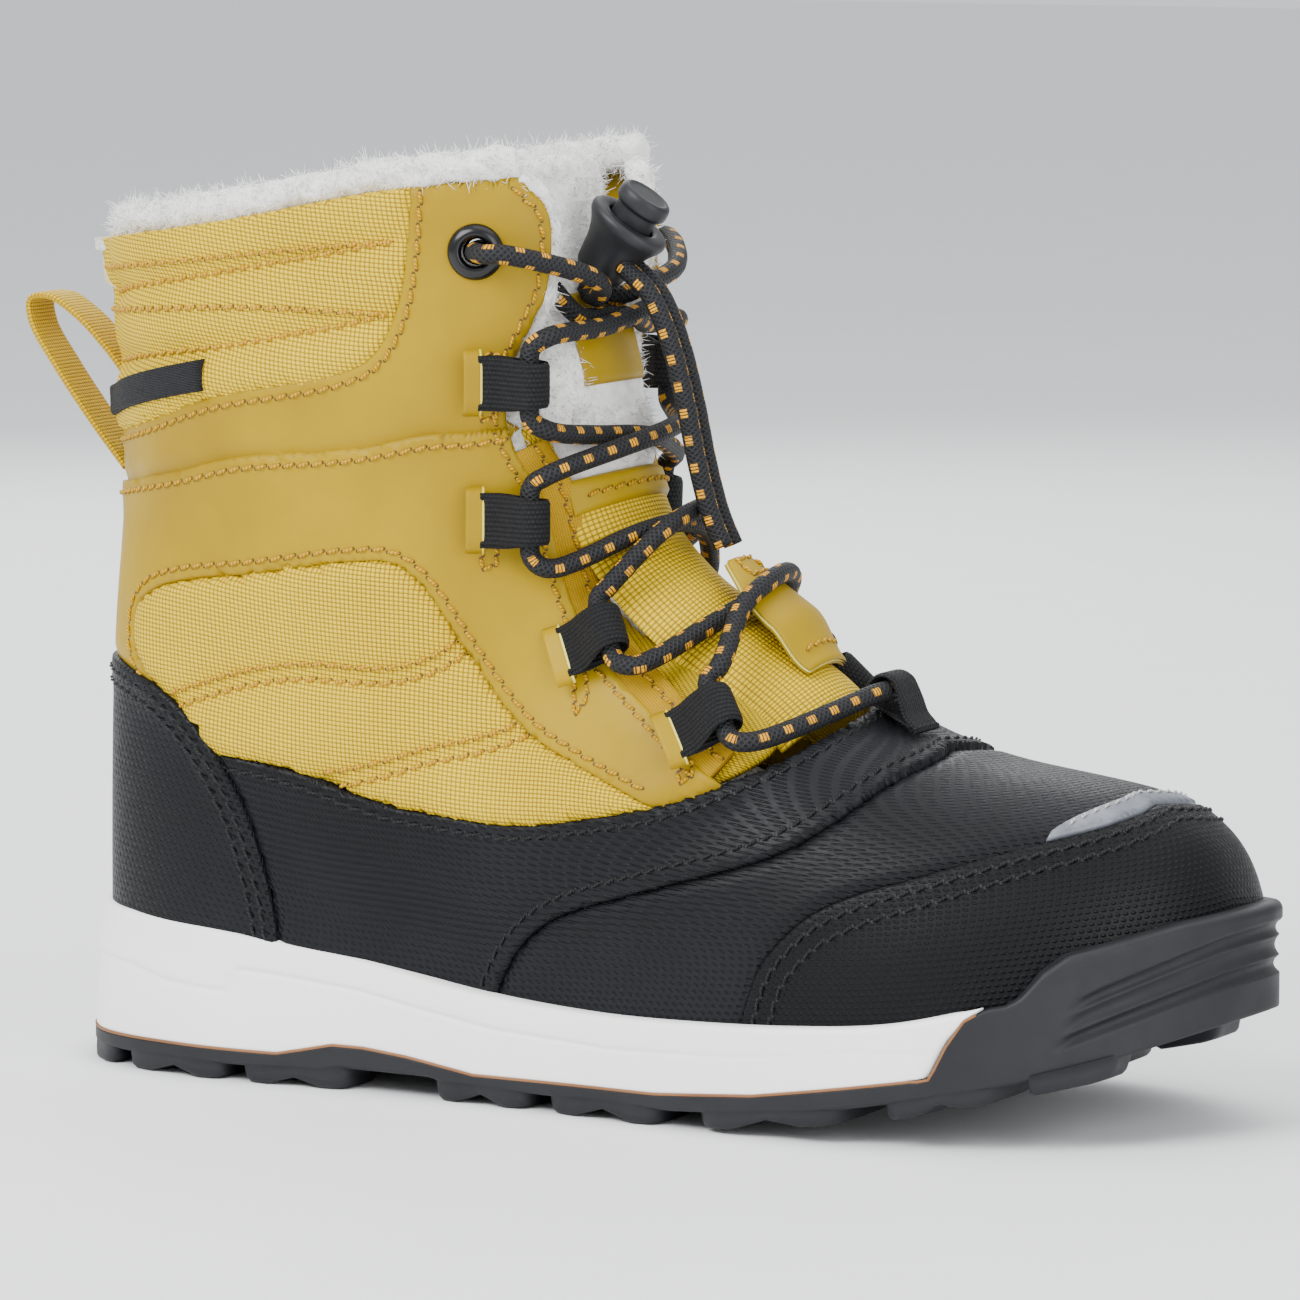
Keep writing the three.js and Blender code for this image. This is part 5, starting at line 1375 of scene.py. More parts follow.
def add_hair(name, roots, normals, body, length=1.7, seed=5, lean=1.05, radius=0.085):
    """Short curled fibres that stand out of a fleece."""
    source = np.random.default_rng(seed)
    count = len(roots)
    way = normals + source.normal(size=(count, 3)) * lean * 0.6
    way /= np.linalg.norm(way, axis=1, keepdims=True)
    curl = source.normal(size=(count, 3)) * lean
    long = length * source.uniform(0.5, 1.15, (count, 1))
    centres = [roots + way * long * s + curl * long * 0.42 * s * s for s in (-0.15, 0.3, 0.68, 1.0)]
    one = np.cross(way, [0.31, 0.52, 0.79])
    one /= np.linalg.norm(one, axis=1, keepdims=True)
    two = np.cross(way, one)
    points = []
    for centre, share in zip(centres, (1.1, 1.0, 0.8, 0.3)):
        for k in range(3):
            a = math.tau * k / 3
            points.append(centre + (one * math.cos(a) + two * math.sin(a)) * radius * share)
    points = np.stack(points, 1)
    faces = [(3 * k + i, 3 * k + (i + 1) % 3, 3 * k + 3 + (i + 1) % 3, 3 * k + 3 + i)
             for k in range(3) for i in range(3)] + [(2, 1, 0), (9, 10, 11)]
    every = [tuple(12 * n + i for i in face) for n in range(count) for face in faces]
    piece = make_piece(name, points.reshape(-1, 3), every, "fleece_hair", body)
    return piece


def scattered(points, faces, per_square, seed):
    """Random spots on quads and triangles, with their normals."""
    source = np.random.default_rng(seed)
    halves = (t for face in faces for t in (face[:3], (face[0], face[2], face[-1])))
    triangles = np.array([t for t in halves if len(set(t)) == 3])
    a, b, c = (points[triangles[:, k]] for k in range(3))
    normal = np.cross(b - a, c - a)
    area = np.linalg.norm(normal, axis=1) / 2
    keep = area > 1e-6
    a, b, c, normal, area = a[keep], b[keep], c[keep], normal[keep], area[keep]
    pick = source.choice(len(area), int(area.sum() * per_square), p=area / area.sum())
    r, s = source.uniform(size=(2, len(pick), 1))
    r = np.sqrt(r)
    spots = a[pick] * (1 - r) + b[pick] * r * (1 - s) + c[pick] * r * s
    return spots, (normal / np.linalg.norm(normal, axis=1, keepdims=True))[pick]


def density(number):
    return number * 1.0


def fleece_roll(name, line, radius, up, body="root", squeeze=0.9, seed=7, hair=1.5):
    """A soft roll of fleece along a line, with its fibres."""
    line = even(line, 0.9)
    sides = 22
    points, faces, uv = tube_shape(line, radius, sides, up, squeeze)
    centre = np.repeat(line, sides + 1, 0)
    out = points - centre
    out /= np.linalg.norm(out, axis=1, keepdims=True)
    points = points + out * (fleece_relief(points, seed) * 0.75)[:, None]
    points[sides::sides + 1] = points[::sides + 1]
    piece = welded(make_piece(name, points, faces, "fleece", body, uv * [10, 1]))
    roots, normals = scattered(points, faces[:-2], density(hair), seed)
    middle = line[np.argmin(((roots[:, None, :] - line[None, ::4]) ** 2).sum(-1), axis=1) * 4]
    flip = np.sign(((roots - middle) * normals).sum(1))[:, None]
    add_hair(name + "_fibres", roots, normals * flip, body, seed=seed + 1)
    return piece


def add_collar_fleece():
    u = 0.47 + 1.06 * np.arange(54) / 53
    line = skin.at(u, np.ones(54), -3.0) + [0, 0, 2.3]
    piece = fleece_roll("collar_fleece", line, 3.3, [0, 0, 1], seed=21)
    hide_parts("collar_roll")
    for side, name in ((1, "lateral"), (-1, "medial")):
        edge = chart_line([0.47, 1.0], [0.425, 0.988], [0.385, 0.97], [0.366, 0.945], [0.38, 0.91],
                          [0.424, 0.878], [0.468, 0.848], [0.468, 0.8], [0.438, 0.765])
        edge = edge * [side, 1]
        chart = edge[::4]
        roll = cord_line(skin.on(chart, np.linspace(-3.0, -4.6, len(chart))), 6)
        radius = 2.5
        fleece_roll(f"throat_fleece_{name}", roll, radius, skin.normal(side * 0.45, 0.98), seed=31 + side)


def add_collar_foam():
    """The soft band between the collar's cloth and its lining."""
    lower = chart_line([0.76, 0.85], [0.86, 0.81], [1, 0.75], [1.14, 0.81], [1.24, 0.85])
    edge = np.vstack([[[0.69, 0.975], [0.7, 0.9]], lower, [[1.3, 0.9], [1.31, 0.975]]])
    panel = Panel("collar_foam_pad", [Run(edge, "open"), Run(straight([1.31, 0.975], [0.69, 0.975]), "open")],
                  "foam", 2.4, 0.0, swell=lambda chart, points: -1.5, deep=1.3)
    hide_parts("collar_foam")


def add_lining():
    """The fleece inside the boot, in two halves."""
    for side, name in ((1, "lateral"), (-1, "medial")):
        outline = np.array(THROAT_LINING, float) * [side, 1]
        runs = [Run(straight(a, b), "open") for a, b in zip(outline, np.roll(outline, -1, 0))]
        panel = Panel(f"lining_{name}_fleece", runs, "fleece", 2.2, 0.0, swell=lambda chart, points: -3.2,
                      deep=3.0, inner=lambda points: 0.5 + 0.7 * fleece_relief(points, 41))
        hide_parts(f"lining_{name}")


def add_footbed():
    """The fleece footbed, ruled across between the feather lines."""
    count = 120
    u = -1 + 2 * np.arange(count) / count
    edge = skin.at(u, np.zeros(count), -7.9)
    middle = np.stack([np.clip(edge[:, 0], -8, 180), 0 * u + 1.5, edge[:, 2]], -1)
    shares = [0, 0.03, 0.08, 0.2, 0.4, 0.6, 0.8, 0.97]
    rings = []
    for share in shares:
        ring = edge + (middle - edge) * share
        ring[:, 2] += 0.4 + 3.6 * min(share / 0.08, 1.0) ** 0.5 + 1.2 * (1 - share)
        ring[:, 2] += fleece_relief(ring, 61) * 0.5 * (share > 0.02)
        rings.append(ring)
    rings.append(edge + [0, 0, 0.3])
    under = [edge + (middle - edge) * share + [0, 0, 0.3] for share in (0.4, 0.97)]
    order = [under[1], under[0], rings[-1], *rings[:-1]]
    points = np.vstack(order)
    faces = ring_faces(len(order), count)
    faces.append(tuple(range(count - 1, -1, -1)))
    faces.append(tuple((len(order) - 1) * count + i for i in range(count)))
    piece = make_piece("footbed_fleece", points, faces, "fleece")
    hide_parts("footbed")


# ------------------------------------------------------------------ sole
SOLE_OUTLINE = [[-35, 2], [-25, -24], [0, -34], [40, -35], [80, -39], [120, -45], [150, -46], [180, -38],
                [200, -22], [212, 2], [209, 14], [200, 27], [180, 41], [150, 46], [120, 43.5], [80, 37],
                [40, 35], [0, 35.5], [-25, 27]]


class SoleLine:
    """The outsole's outline as a closed line, with its inward normals."""

    def __init__(self, spacing=1.2):
        p = np.array(SOLE_OUTLINE, float)
        ring = np.vstack([p[-2:], p, p[:3]])
        whole = cord_line(np.c_[ring, np.zeros(len(ring))], 12)
        start = np.argmin(np.linalg.norm(whole[:40, :2] - p[0], axis=1))
        stop = len(whole) - 40 + np.argmin(np.linalg.norm(whole[-40:, :2] - p[0], axis=1))
        line = even(whole[start:stop + 1], spacing)[:-1]
        self.points = line[:, :2]
        way = np.roll(self.points, -1, 0) - np.roll(self.points, 1, 0)
        way /= np.linalg.norm(way, axis=1, keepdims=True)
        self.inward = np.stack([-way[:, 1], way[:, 0]], -1)
        step = np.linalg.norm(np.roll(self.points, -1, 0) - self.points, axis=1)
        self.lengths = np.concatenate([[0], np.cumsum(step)[:-1]])

    def side(self, x, sign):
        """The outline's y at x, on one side of the boot."""
        half = self.points[self.points[:, 1] * sign > 0.2]
        order = np.argsort(half[:, 0])
        return np.interp(x, half[order, 0], half[order, 1])


FRONT_X = [160, 163.3, 166.3, 169.5, 173.3, 176.5, 179, 183, 187, 195, 203, 225]
FRONT_Z = [12.3, 13, 19.2, 24, 26.3, 26.9, 28.4, 33.3, 36.3, 38.5, 41, 45]


def midsole_top(x):
    return curve(x, [-45, 0, 32, 64, 90, 115, 136, 156, 173],
                 [31.5, 29.5, 26.2, 21.3, 19.6, 20, 21, 22.8, 26.5])


def midsole_under(x):
    low = np.interp(x, [-45, 21, 27, 33, 40, 50, 65, 106, 128, 160],
                    [6.2, 6.0, 7.2, 8.5, 8.5, 7.6, 5.5, 6, 7.7, 12.6])
    return np.where(x > 160, np.interp(x, FRONT_X, FRONT_Z) + 0.1, low)


def tread_root(x):
    lift = curve(x, [110, 130, 160, 190, 213], [0, 1.4, 5.8, 12.5, 20])
    arch = 1.0 * smoothstep(x, 29, 35) * (1 - smoothstep(x, 54, 60))
    return lift + 3.6 + arch


def sole_ground(x):
    return np.interp(x, [-45, 110, 130, 160, 190, 213, 225], [0, 0, 1.4, 5.8, 12.5, 20, 24])


def round_edge(distance, radius):
    """How far a rounded edge draws back at a distance from it."""
    share = np.clip(1 - np.maximum(distance, 0) / radius, 0, 1)
    return radius * (1 - np.sqrt(1 - share * share))


def set_in(p, inward, depth, z):
    """A wall: for each point of the sole line, points at those depths and heights."""
    return np.stack([p[:, None, 0] + inward[:, None, 0] * depth,
                     p[:, None, 1] + inward[:, None, 1] * depth, z], -1)


def swept_ring(sections):
    """Points and faces of closed sections, one per point of the sole line, joined in order."""
    count, rows = sections.shape[:2]
    points = sections.reshape(-1, 3)
    faces = [(i * rows + k, ((i + 1) % count) * rows + k, ((i + 1) % count) * rows + (k + 1) % rows,
              i * rows + (k + 1) % rows) for i in range(count) for k in range(rows)]
    return points, faces


STEP_X = [-40, -15.6, -5.3, 8.6, 12.4, 17.8, 38.3, 54, 70, 96, 125, 150]
STEP_Z = [21.4, 20.4, 18.1, 17.2, 21.6, 21.4, 19.4, 16.8, 14.6, 13.4, 14.6, 17.6]


def midsole_relief(x, z):
    """The step line moulded into the midsole's wall, and the wall's slope."""
    line = np.interp(x, STEP_X, STEP_Z)
    slope = np.abs(np.interp(x + 0.5, STEP_X, STEP_Z) - np.interp(x - 0.5, STEP_X, STEP_Z))
    away = (z - line) / np.sqrt(1 + slope * slope)
    fade = 1 - 0.85 * smoothstep(x, 70, 135)
    groove = -0.42 * np.exp(-(away / 0.55) ** 2) * fade
    step = 0.35 * smoothstep(away, -0.2, 0.5) * fade * (1 - smoothstep(away, 1.5, 7))
    lean = -1.3 * smoothstep(z, 8, 30) * (1 - smoothstep(x, 20, 120))
    return groove + step + lean


def add_midsole():
    """The white foam wall, open at the toe where the outsole's bumper rises."""
    sole = SoleLine(1.1)
    use = np.where(sole.points[:, 0] <= 173.0)[0]
    start = int(np.argmax(np.diff(np.concatenate([use, [use[0] + len(sole.points)]]))))
    order = np.concatenate([use[start + 1:], use[:start + 1]]) if start + 1 < len(use) else use
    p, inward = sole.points[order], sole.inward[order]
    x = p[:, 0]
    rows = 64
    low, high = midsole_under(x), np.maximum(midsole_top(x), midsole_under(x) + 0.05)
    share = np.linspace(0, 1, rows)
    z = low[:, None] + (high - low)[:, None] * share
    ahead = np.interp(z, [12.6, 13.3, 20, 26.5], [160, 163, 166.3, 173])
    front = np.where(z > 12.6, ahead - x[:, None], 99)
    depth = 0.35 + round_edge(high[:, None] - z, 1.3) + round_edge(z - low[:, None] + 0.15, 0.7)
    depth = depth + round_edge(np.maximum(front, 0) * 0.8, 1.4) - midsole_relief(x[:, None], z)
    wall = set_in(p, inward, depth, z)
    shelf = []
    for d, drop in ((2.2, 0.05), (4.5, 0.5), (9.0, 1.6)):
        d = d * np.clip((high - low) / 4, 0.3, 1)
        shelf.append(np.c_[p + inward * (d + depth[:, -1])[:, None], np.maximum(high - drop, low)])
    shelf.append(np.c_[p + inward * (9.4 * np.clip((high - low) / 4, 0.3, 1))[:, None], low])
    section = np.concatenate([wall, np.stack(shelf, 1)], 1)
    count, wide = section.shape[:2]
    faces = [(i * wide + k, (i + 1) * wide + k, (i + 1) * wide + (k + 1) % wide, i * wide + (k + 1) % wide)
             for i in range(count - 1) for k in range(wide)]
    faces.append(tuple(range(wide)))
    faces.append(tuple((count - 1) * wide + k for k in range(wide - 1, -1, -1)))
    if order_is_reversed(section):
        faces = [face[::-1] for face in faces]
    piece = make_piece("midsole_foam", section.reshape(-1, 3), faces, "midsole")
    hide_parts("midsole")
    bond = np.c_[p + inward * 0.32, low - 0.05]
    bond = bond[x < 172.5]
    points, faces, uv = tube_shape(bond, 0.3, 6, [0, 0, 1])
    make_piece("midsole_bond", points, faces, "bond", uv=uv)


def order_is_reversed(section):
    """Whether quads along and up a wall would face inwards."""
    a, b, c = section[0, 0], section[1, 0], section[0, 5]
    normal = np.cross(b - a, c - a)
    return normal @ (section[0, 5] - section[0, -2]) < 0


def bumper_relief(x, z):
    """Three scalloped ribs in the toe bumper, in a frame that starts behind the toe."""
    bottom = np.interp(x, [180, 186, 208, 213], [16.2, 18.7, 28.3, 29.8])
    top = np.interp(x, [180, 192, 208, 213], [23.5, 30.2, 38.0, 39.6])
    w = (z - bottom) / np.maximum(top - bottom, 0.5)
    within = smoothstep(x + (z - bottom) * -0.35, 184.0, 187.5)
    made = np.zeros_like(z)
    for a, b, deep in ((0.0, 0.33, 1.15), (0.33, 0.72, 0.95), (0.72, 1.0, 0.8)):
        share = np.clip((w - a) / (b - a), 0, 1)
        made -= deep * np.sin(share * math.pi) ** 0.8 * (w > a) * (w < b)
    lip = 0.5 * smoothstep(w, 0.98, 1.06)
    return (made + lip) * within


def add_outsole():
    """The rubber's wall with its toe bumper, its bottom plate and the lugs."""
    sole = SoleLine(1.0)
    p, inward = sole.points, sole.inward
    x = p[:, 0]
    low = tread_root(x) - 0.5
    high = np.where(x < 160, midsole_under(x) - 0.1, np.interp(x, FRONT_X, FRONT_Z))
    rows = 76
    z = low[:, None] + (high - low)[:, None] * np.linspace(0, 1, rows)
    depth = 0.1 + round_edge(high[:, None] - z, 0.5) + round_edge(z - low[:, None], 0.8)
    bumper = smoothstep(x, 172, 184)[:, None]
    depth = depth + round_edge(high[:, None] - z, 1.6) * bumper - bumper_relief(x[:, None], z)
    depth = depth + 0.5 * bumper
    wall = set_in(p, inward, depth, z)
    spine = np.c_[np.clip(x, -8, 182), np.zeros(len(x))]

    def level(share, lift):
        place = p + inward * 9.0
        place = place + (spine - place) * share
        return np.c_[place, tread_root(place[:, 0]) + lift]
    rings = [np.c_[p + inward * d, high - drop] for d, drop in ((2.6, 0.1), (5.0, 0.4), (8.5, 0.8))]
    for share in (0.0, 0.3, 0.65, 0.98):
        rings.append(level(share, 1.4))
    for share in (0.98, 0.65, 0.3, 0.0):
        rings.append(level(share, 0.0))
    section = np.concatenate([wall, np.stack(rings, 1)], 1)
    points, faces = swept_ring(section)
    wide = section.shape[1]
    skip = rows + 6
    faces = [face for n, face in enumerate(faces) if n % wide != skip]
    if order_is_reversed(section):
        faces = [face[::-1] for face in faces]
    shapes = Shapes()
    shapes.add(points, faces)
    add_lugs(shapes, sole)
    piece = shapes.piece("outsole_rubber", "outsole")
    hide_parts("outsole")


LUGS = [(-34.2, -19, None), (-14.5, 8.5, -1.5), (13.5, 36, 23), (56, 77, 66.5), (82, 107, 94.8),
        (116, 146, 130), (154.5, 174.5, 166), (180, 193, None)]
CENTRE_LUGS = [(-29, -12, None), (-8.5, 8.5, None), (12.5, 29, None), (62, 74, None), (78, 92, None),
               (96.5, 111, None), (115.5, 130, None), (134.5, 149, None), (153.5, 166, None),
               (170.5, 183, None)]
LUG_RINGS = [(1.0, "root"), (0.55, 0.55), (0.12, 0.16), (-0.45, 0.0), (-2.4, 0.0), (-5.5, 0.0), (-9.5, 0.0)]


def add_lugs(shapes, sole):
    for sign in (-1, 1):
        for start, end, notch in LUGS:
            inner = sign * (20.5 if start > 60 or end < 40 else 17)
            if start < -30:
                inner = sign * 9.0
            add_lug(shapes, sole, start, end, notch, inner, sign)
    for start, end, notch in CENTRE_LUGS:
        reach = 15.5 if start > 50 else 14.5
        if start < -25:
            reach = 6.5
        add_lug(shapes, sole, start, end, notch, -reach, 0, reach)


def add_lug(shapes, sole, start, end, notch, inner, sign, outer=None):
    """One lug: its sides taper down from the sole, and its worn face follows the ground line."""
    sides = 44
    a = np.arange(sides) * math.tau / sides
    power = 0.32
    unit_x = np.sign(np.cos(a)) * np.abs(np.cos(a)) ** power
    unit_y = np.sign(np.sin(a)) * np.abs(np.sin(a)) ** power
    half = (end - start) / 2
    middle = (start + end) / 2
    rings = []
    for grow, level in LUG_RINGS:
        x = middle + unit_x * max(half + grow, 0.15 * half)
        if sign:
            far = sole.side(np.clip(x, -33.5, 208), sign)
            near = np.full(len(x), float(inner))
            edge = 0.12 if grow > 0 else 0.15 - grow
            far = far - sign * edge
            near = near - sign * grow
        else:
            far = np.full(len(x), float(outer) + grow)
            near = np.full(len(x), float(inner) - grow)
        centre, reach = (near + far) / 2, np.abs(far - near) / 2
        y = centre + unit_y * np.maximum(reach, 0.5)
        shrink = max(1 + min(grow + 0.45, 0) / 10.5, 0.08)
        y = centre + (y - centre) * shrink
        ground, root = sole_ground(x), tread_root(x)
        if notch is not None:
            ground = ground + 1.9 * np.exp(-((x - notch) / 2.6) ** 4)
        z = root + 0.6 if level == "root" else ground + (root - ground) * level
        rings.append(np.stack([x, y, z], -1))
    points = np.vstack(rings)
    faces = ring_faces(len(rings), sides)
    faces.append(tuple(range(sides)))
    faces.append(tuple((len(rings) - 1) * sides + i for i in range(sides - 1, -1, -1)))
    shapes.add(points, [face[::-1] for face in faces])


# ------------------------------------------------------------------ tongue
def tongue_sheet(first, last, half, outer, inner, across=36, spacing=1.1, relief=None, rounding=1.0):
    """A closed sheet on the tongue with rounded sides; its sizes can change with s from 0 to 1."""
    def value(item, s):
        return item(s) if callable(item) else item
    long = np.linalg.norm(np.diff(tongue_middle, axis=0), axis=1).sum() * (last - first)
    steps = max(int(long / spacing), 4)
    y = np.sin(np.linspace(-1, 1, across + 1) * math.pi / 2 * 0.999)
    rows, uv = [], []
    for k in range(steps + 1):
        share = k / steps
        s = first + (last - first) * share
        end = min(share, 1 - share) * long
        wide = value(half, share)
        thick = value(outer, share) - value(inner, share)
        middle = (value(outer, share) + value(inner, share)) / 2
        side = np.sqrt(np.clip(1 - np.abs(y) ** 7, 0, 1))
        tip = 1 - round_edge(np.array([end]), rounding)[0] / rounding
        swell = side * max(tip, 0.02) * thick / 2
        for sign in (1, -1):
            lift = middle + sign * swell
            place = tongue_spot(np.full(len(y), s), y * wide, lift)
            rows.append(place)
            uv.append(np.stack([y * wide, np.full(len(y), s * long / (last - first))], -1))
    points = np.stack(rows)
    top, bottom = points[::2], points[1::2]
    if relief is not None:
        away = top - bottom
        away /= np.maximum(np.linalg.norm(away, axis=-1, keepdims=True), 1e-6)
        top = top + away * relief(top.reshape(-1, 3)).reshape(top.shape[:2] + (1,))
    wide = across + 1
    whole = np.vstack([top.reshape(-1, 3), bottom.reshape(-1, 3)])
    marks = np.vstack([np.vstack(uv[::2]), np.vstack(uv[1::2])])
    base = (steps + 1) * wide
    faces = []
    for k in range(steps):
        for i in range(across):
            a, b, c, d = k * wide + i, k * wide + i + 1, (k + 1) * wide + i + 1, (k + 1) * wide + i
            faces += [(d, c, b, a), (base + a, base + b, base + c, base + d)]
        left, right = k * wide, k * wide + across
        faces += [(left, base + left, base + left + wide, left + wide),
                  (right + wide, base + right + wide, base + right, right)]
    for i in range(across):
        a, b = i, i + 1
        faces += [(a, b, base + b, base + a)]
        a, b = steps * wide + i, steps * wide + i + 1
        faces += [(b, a, base + a, base + b)]
    return whole, [face[::-1] for face in faces], marks, (steps * across)


CLOTH_END = 0.50


def add_tongue(yellow):
    """The tongue's cloth, hem, fleece and patch."""
    cloth = tongue_sheet(0.0, CLOTH_END, TONGUE_HALF, 0.0, -TONGUE_THICK, 30, 1.2,
                         lambda p: 0.25 * waves(p, 9, 51))
    piece = make_piece("tongue_cloth", *cloth[:2], "woven_yellow", "tongue", cloth[2])
    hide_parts("tongue_shell")
    hem = tongue_sheet(CLOTH_END - 0.035, CLOTH_END + 0.012, TONGUE_HALF + 0.1, 1.15, -0.9, 30, 0.8)
    piece = make_piece("tongue_hem", *hem[:2], "smooth_yellow", "tongue", hem[2])
    y = np.linspace(-16.5, 16.5, 34)
    path = tongue_spot(CLOTH_END - 0.012, y, 1.2)
    stitch_line(yellow, path, tongue_spot(CLOTH_END - 0.012, y, 2.2) - path)
    fleece = tongue_sheet(
        1 / 14, 0.995,
        lambda share: np.interp(share, [0, 0.4, 0.5, 1], [16.4, 16.4, 18.2, 18.2]),
        lambda share: np.interp(share, [0, 0.44, 0.5, 1], [-2.6, -2.6, 0.55, 0.3]),
        lambda share: np.interp(share, [0, 0.44, 0.6, 1], [-6.2, -6.2, -6.6, -6.4]),
        44, 0.8, lambda p: fleece_relief(p, 71) * 0.8, 3.0)
    piece = make_piece("tongue_fleece", *fleece[:2], "fleece", "tongue", fleece[2])
    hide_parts("tongue_lining")
    roots, normals = scattered(fleece[0], fleece[1], density(1.1), 73)
    x, y, z = roots.T
    on_patch = (np.abs(y) < 10.5) & (z > 131) & (z < 148.5) & (x > 73)
    keep = (z > 120) & ~on_patch
    add_hair("tongue_fleece_fibres", roots[keep], normals[keep], "tongue", seed=77)
    patch = tongue_sheet(9 / 14, 11 / 14, 12, 1.35, 0.1, 30, 0.9, None, 0.7)
    piece = make_piece("tongue_patch_skin", *patch[:2], "smooth_yellow", "tongue", patch[2])
    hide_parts("tongue_patch")
    add_keeper(yellow)


KEEPER_FIRST, KEEPER_LAST = 1 / 14, 4 / 14


def keeper_half(share):
    return 4.5 + 5.5 * math.sin(math.pi * (1 - share) * 0.8)


def keeper_rise(share):
    return 0.6 + 4.4 * float(smoothstep(share, 0, 0.4))


def add_keeper(yellow):
    """The leather leaf that holds the tails: two layers, with a pale cut edge."""
    for name, low, high, shrink, material in (("lace_keeper_top", 1.05, 2.0, 0.0, "smooth_yellow"),
                                              ("lace_keeper_core", 0.92, 1.08, -0.12, "cut_edge"),
                                              ("lace_keeper_back", 0.0, 0.95, 0.05, "smooth_yellow")):
        leaf = tongue_sheet(KEEPER_FIRST, KEEPER_LAST, lambda share: keeper_half(share) - shrink,
                            lambda share: keeper_rise(share) + high, lambda share: keeper_rise(share) + low,
                            30, 0.6, None, 0.4)
        piece = make_piece(name, *leaf[:2], material, "tongue", leaf[2])
        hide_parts("lace_keeper")

    def on_keeper(share, y, lift):
        s = KEEPER_FIRST + (KEEPER_LAST - KEEPER_FIRST) * np.asarray(share, float)
        rise = np.array([keeper_rise(v) for v in np.atleast_1d(share)])
        return tongue_spot(s, y, rise + lift)
    across = np.c_[np.full(20, 0.13), np.linspace(-6.6, 6.6, 20)]
    corners = np.array([(0.80, -3.6), (0.96, -3.2), (0.96, 3.2), (0.80, 3.6), (0.80, -3.6)])
    box = even(corners * [60, 1], 0.8) / [60, 1]
    for share, y in (across.T, box.T):
        path = on_keeper(share, y, 2.0)
        stitch_line(yellow, path, on_keeper(share, y, 3.0) - path, pitch=2.6, length=2.0)


def add_gussets(yellow):
    """The folded cloth beside the tongue, and the satin strips that face the throat."""
    outline = chart_line([0.31, 0.345], [0.2, 0.36], [0.2, 0.45], [0.22, 0.6], [0.28, 0.72], [0.4, 0.8],
                         [0.46, 0.79], [0.43, 0.72], [0.39, 0.6], [0.37, 0.5], [0.35, 0.42])
    for side, name in ((1, "lateral"), (-1, "medial")):
        chart = outline * [side, 1]
        panel = Panel(f"gusset_{name}_cloth", [Run(np.vstack([chart, chart[:1]]), "open")], "woven_yellow",
                      2.2, 0.0, swell=lambda c, points: -2.6 + 0.5 * waves(points, 7, 81), deep=1.2)
        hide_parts(f"gusset_{name}")
        # a folded satin strip shows beside the overlay's edge
        line = skin.shift(SEAMS["eyestay"][4:-6] * [side, 1], 2.3 * side)
        fine = even_chart(line, 1.2)
        path = skin.on(fine, -1.35)
        inner = skin.shift(fine, 1.0 * side)
        across = skin.on(inner) - skin.on(fine)
        points, faces, uv = ribbon_shape(path, across, 8.2, 1.5, 14)
        piece = make_piece(f"facing_strip_{name}", points, faces, "satin", "root", uv)
        shifted = skin.shift(fine, 1.6 * side)
        seam = skin.on(shifted, -0.5)
        stitch_line(yellow, seam, skin.normal(shifted[:, 0], shifted[:, 1]), radius=0.3)


# ------------------------------------------------------------------ hardware
def lathe_shape(profile, sides=48):
    """Points and faces of a turned shape; the profile is radius and height, from one end to the other."""
    a = np.arange(sides) * math.tau / sides
    rings = [np.stack([r * np.cos(a), r * np.sin(a), np.full(sides, z)], -1) for r, z in profile]
    points = np.concatenate(rings)
    faces = ring_faces(len(profile), sides)
    faces.append(tuple(range(sides - 1, -1, -1)))
    faces.append(tuple((len(profile) - 1) * sides + i for i in range(sides)))
    return points, faces


def rounded_profile(points, spacing=0.35):
    """A profile whose corners are softened by a close-set spline."""
    p = np.array(points, float)
    soft = [p[0]]
    for k in range(1, len(p) - 1):
        for other in (k - 1, k + 1):
            step = p[other] - p[k]
            long = np.linalg.norm(step)
            soft.append(p[k] + step / long * min(0.42, long * 0.35))
    soft.append(p[-1])
    line = cord_line(np.c_[np.array(soft), np.zeros(len(soft))], 4)[:, :2]
    line[:, 0] = np.maximum(line[:, 0], 0.02)
    return even(line, spacing)


TOGGLE_CENTRE, TOGGLE_LEAN, TOGGLE_FLAT = np.array([79.8, -7, 161]), math.radians(36), 0.82
TOGGLE_AXIS = np.array([math.sin(TOGGLE_LEAN), 0, math.cos(TOGGLE_LEAN)])
TOGGLE_FORWARD = np.array([math.cos(TOGGLE_LEAN), 0, -math.sin(TOGGLE_LEAN)])


def on_toggle(points):
    x, y, z = points[:, 0], points[:, 1] * TOGGLE_FLAT, points[:, 2]
    return TOGGLE_CENTRE + x[:, None] * TOGGLE_FORWARD + y[:, None] * [0, 1, 0] + z[:, None] * TOGGLE_AXIS


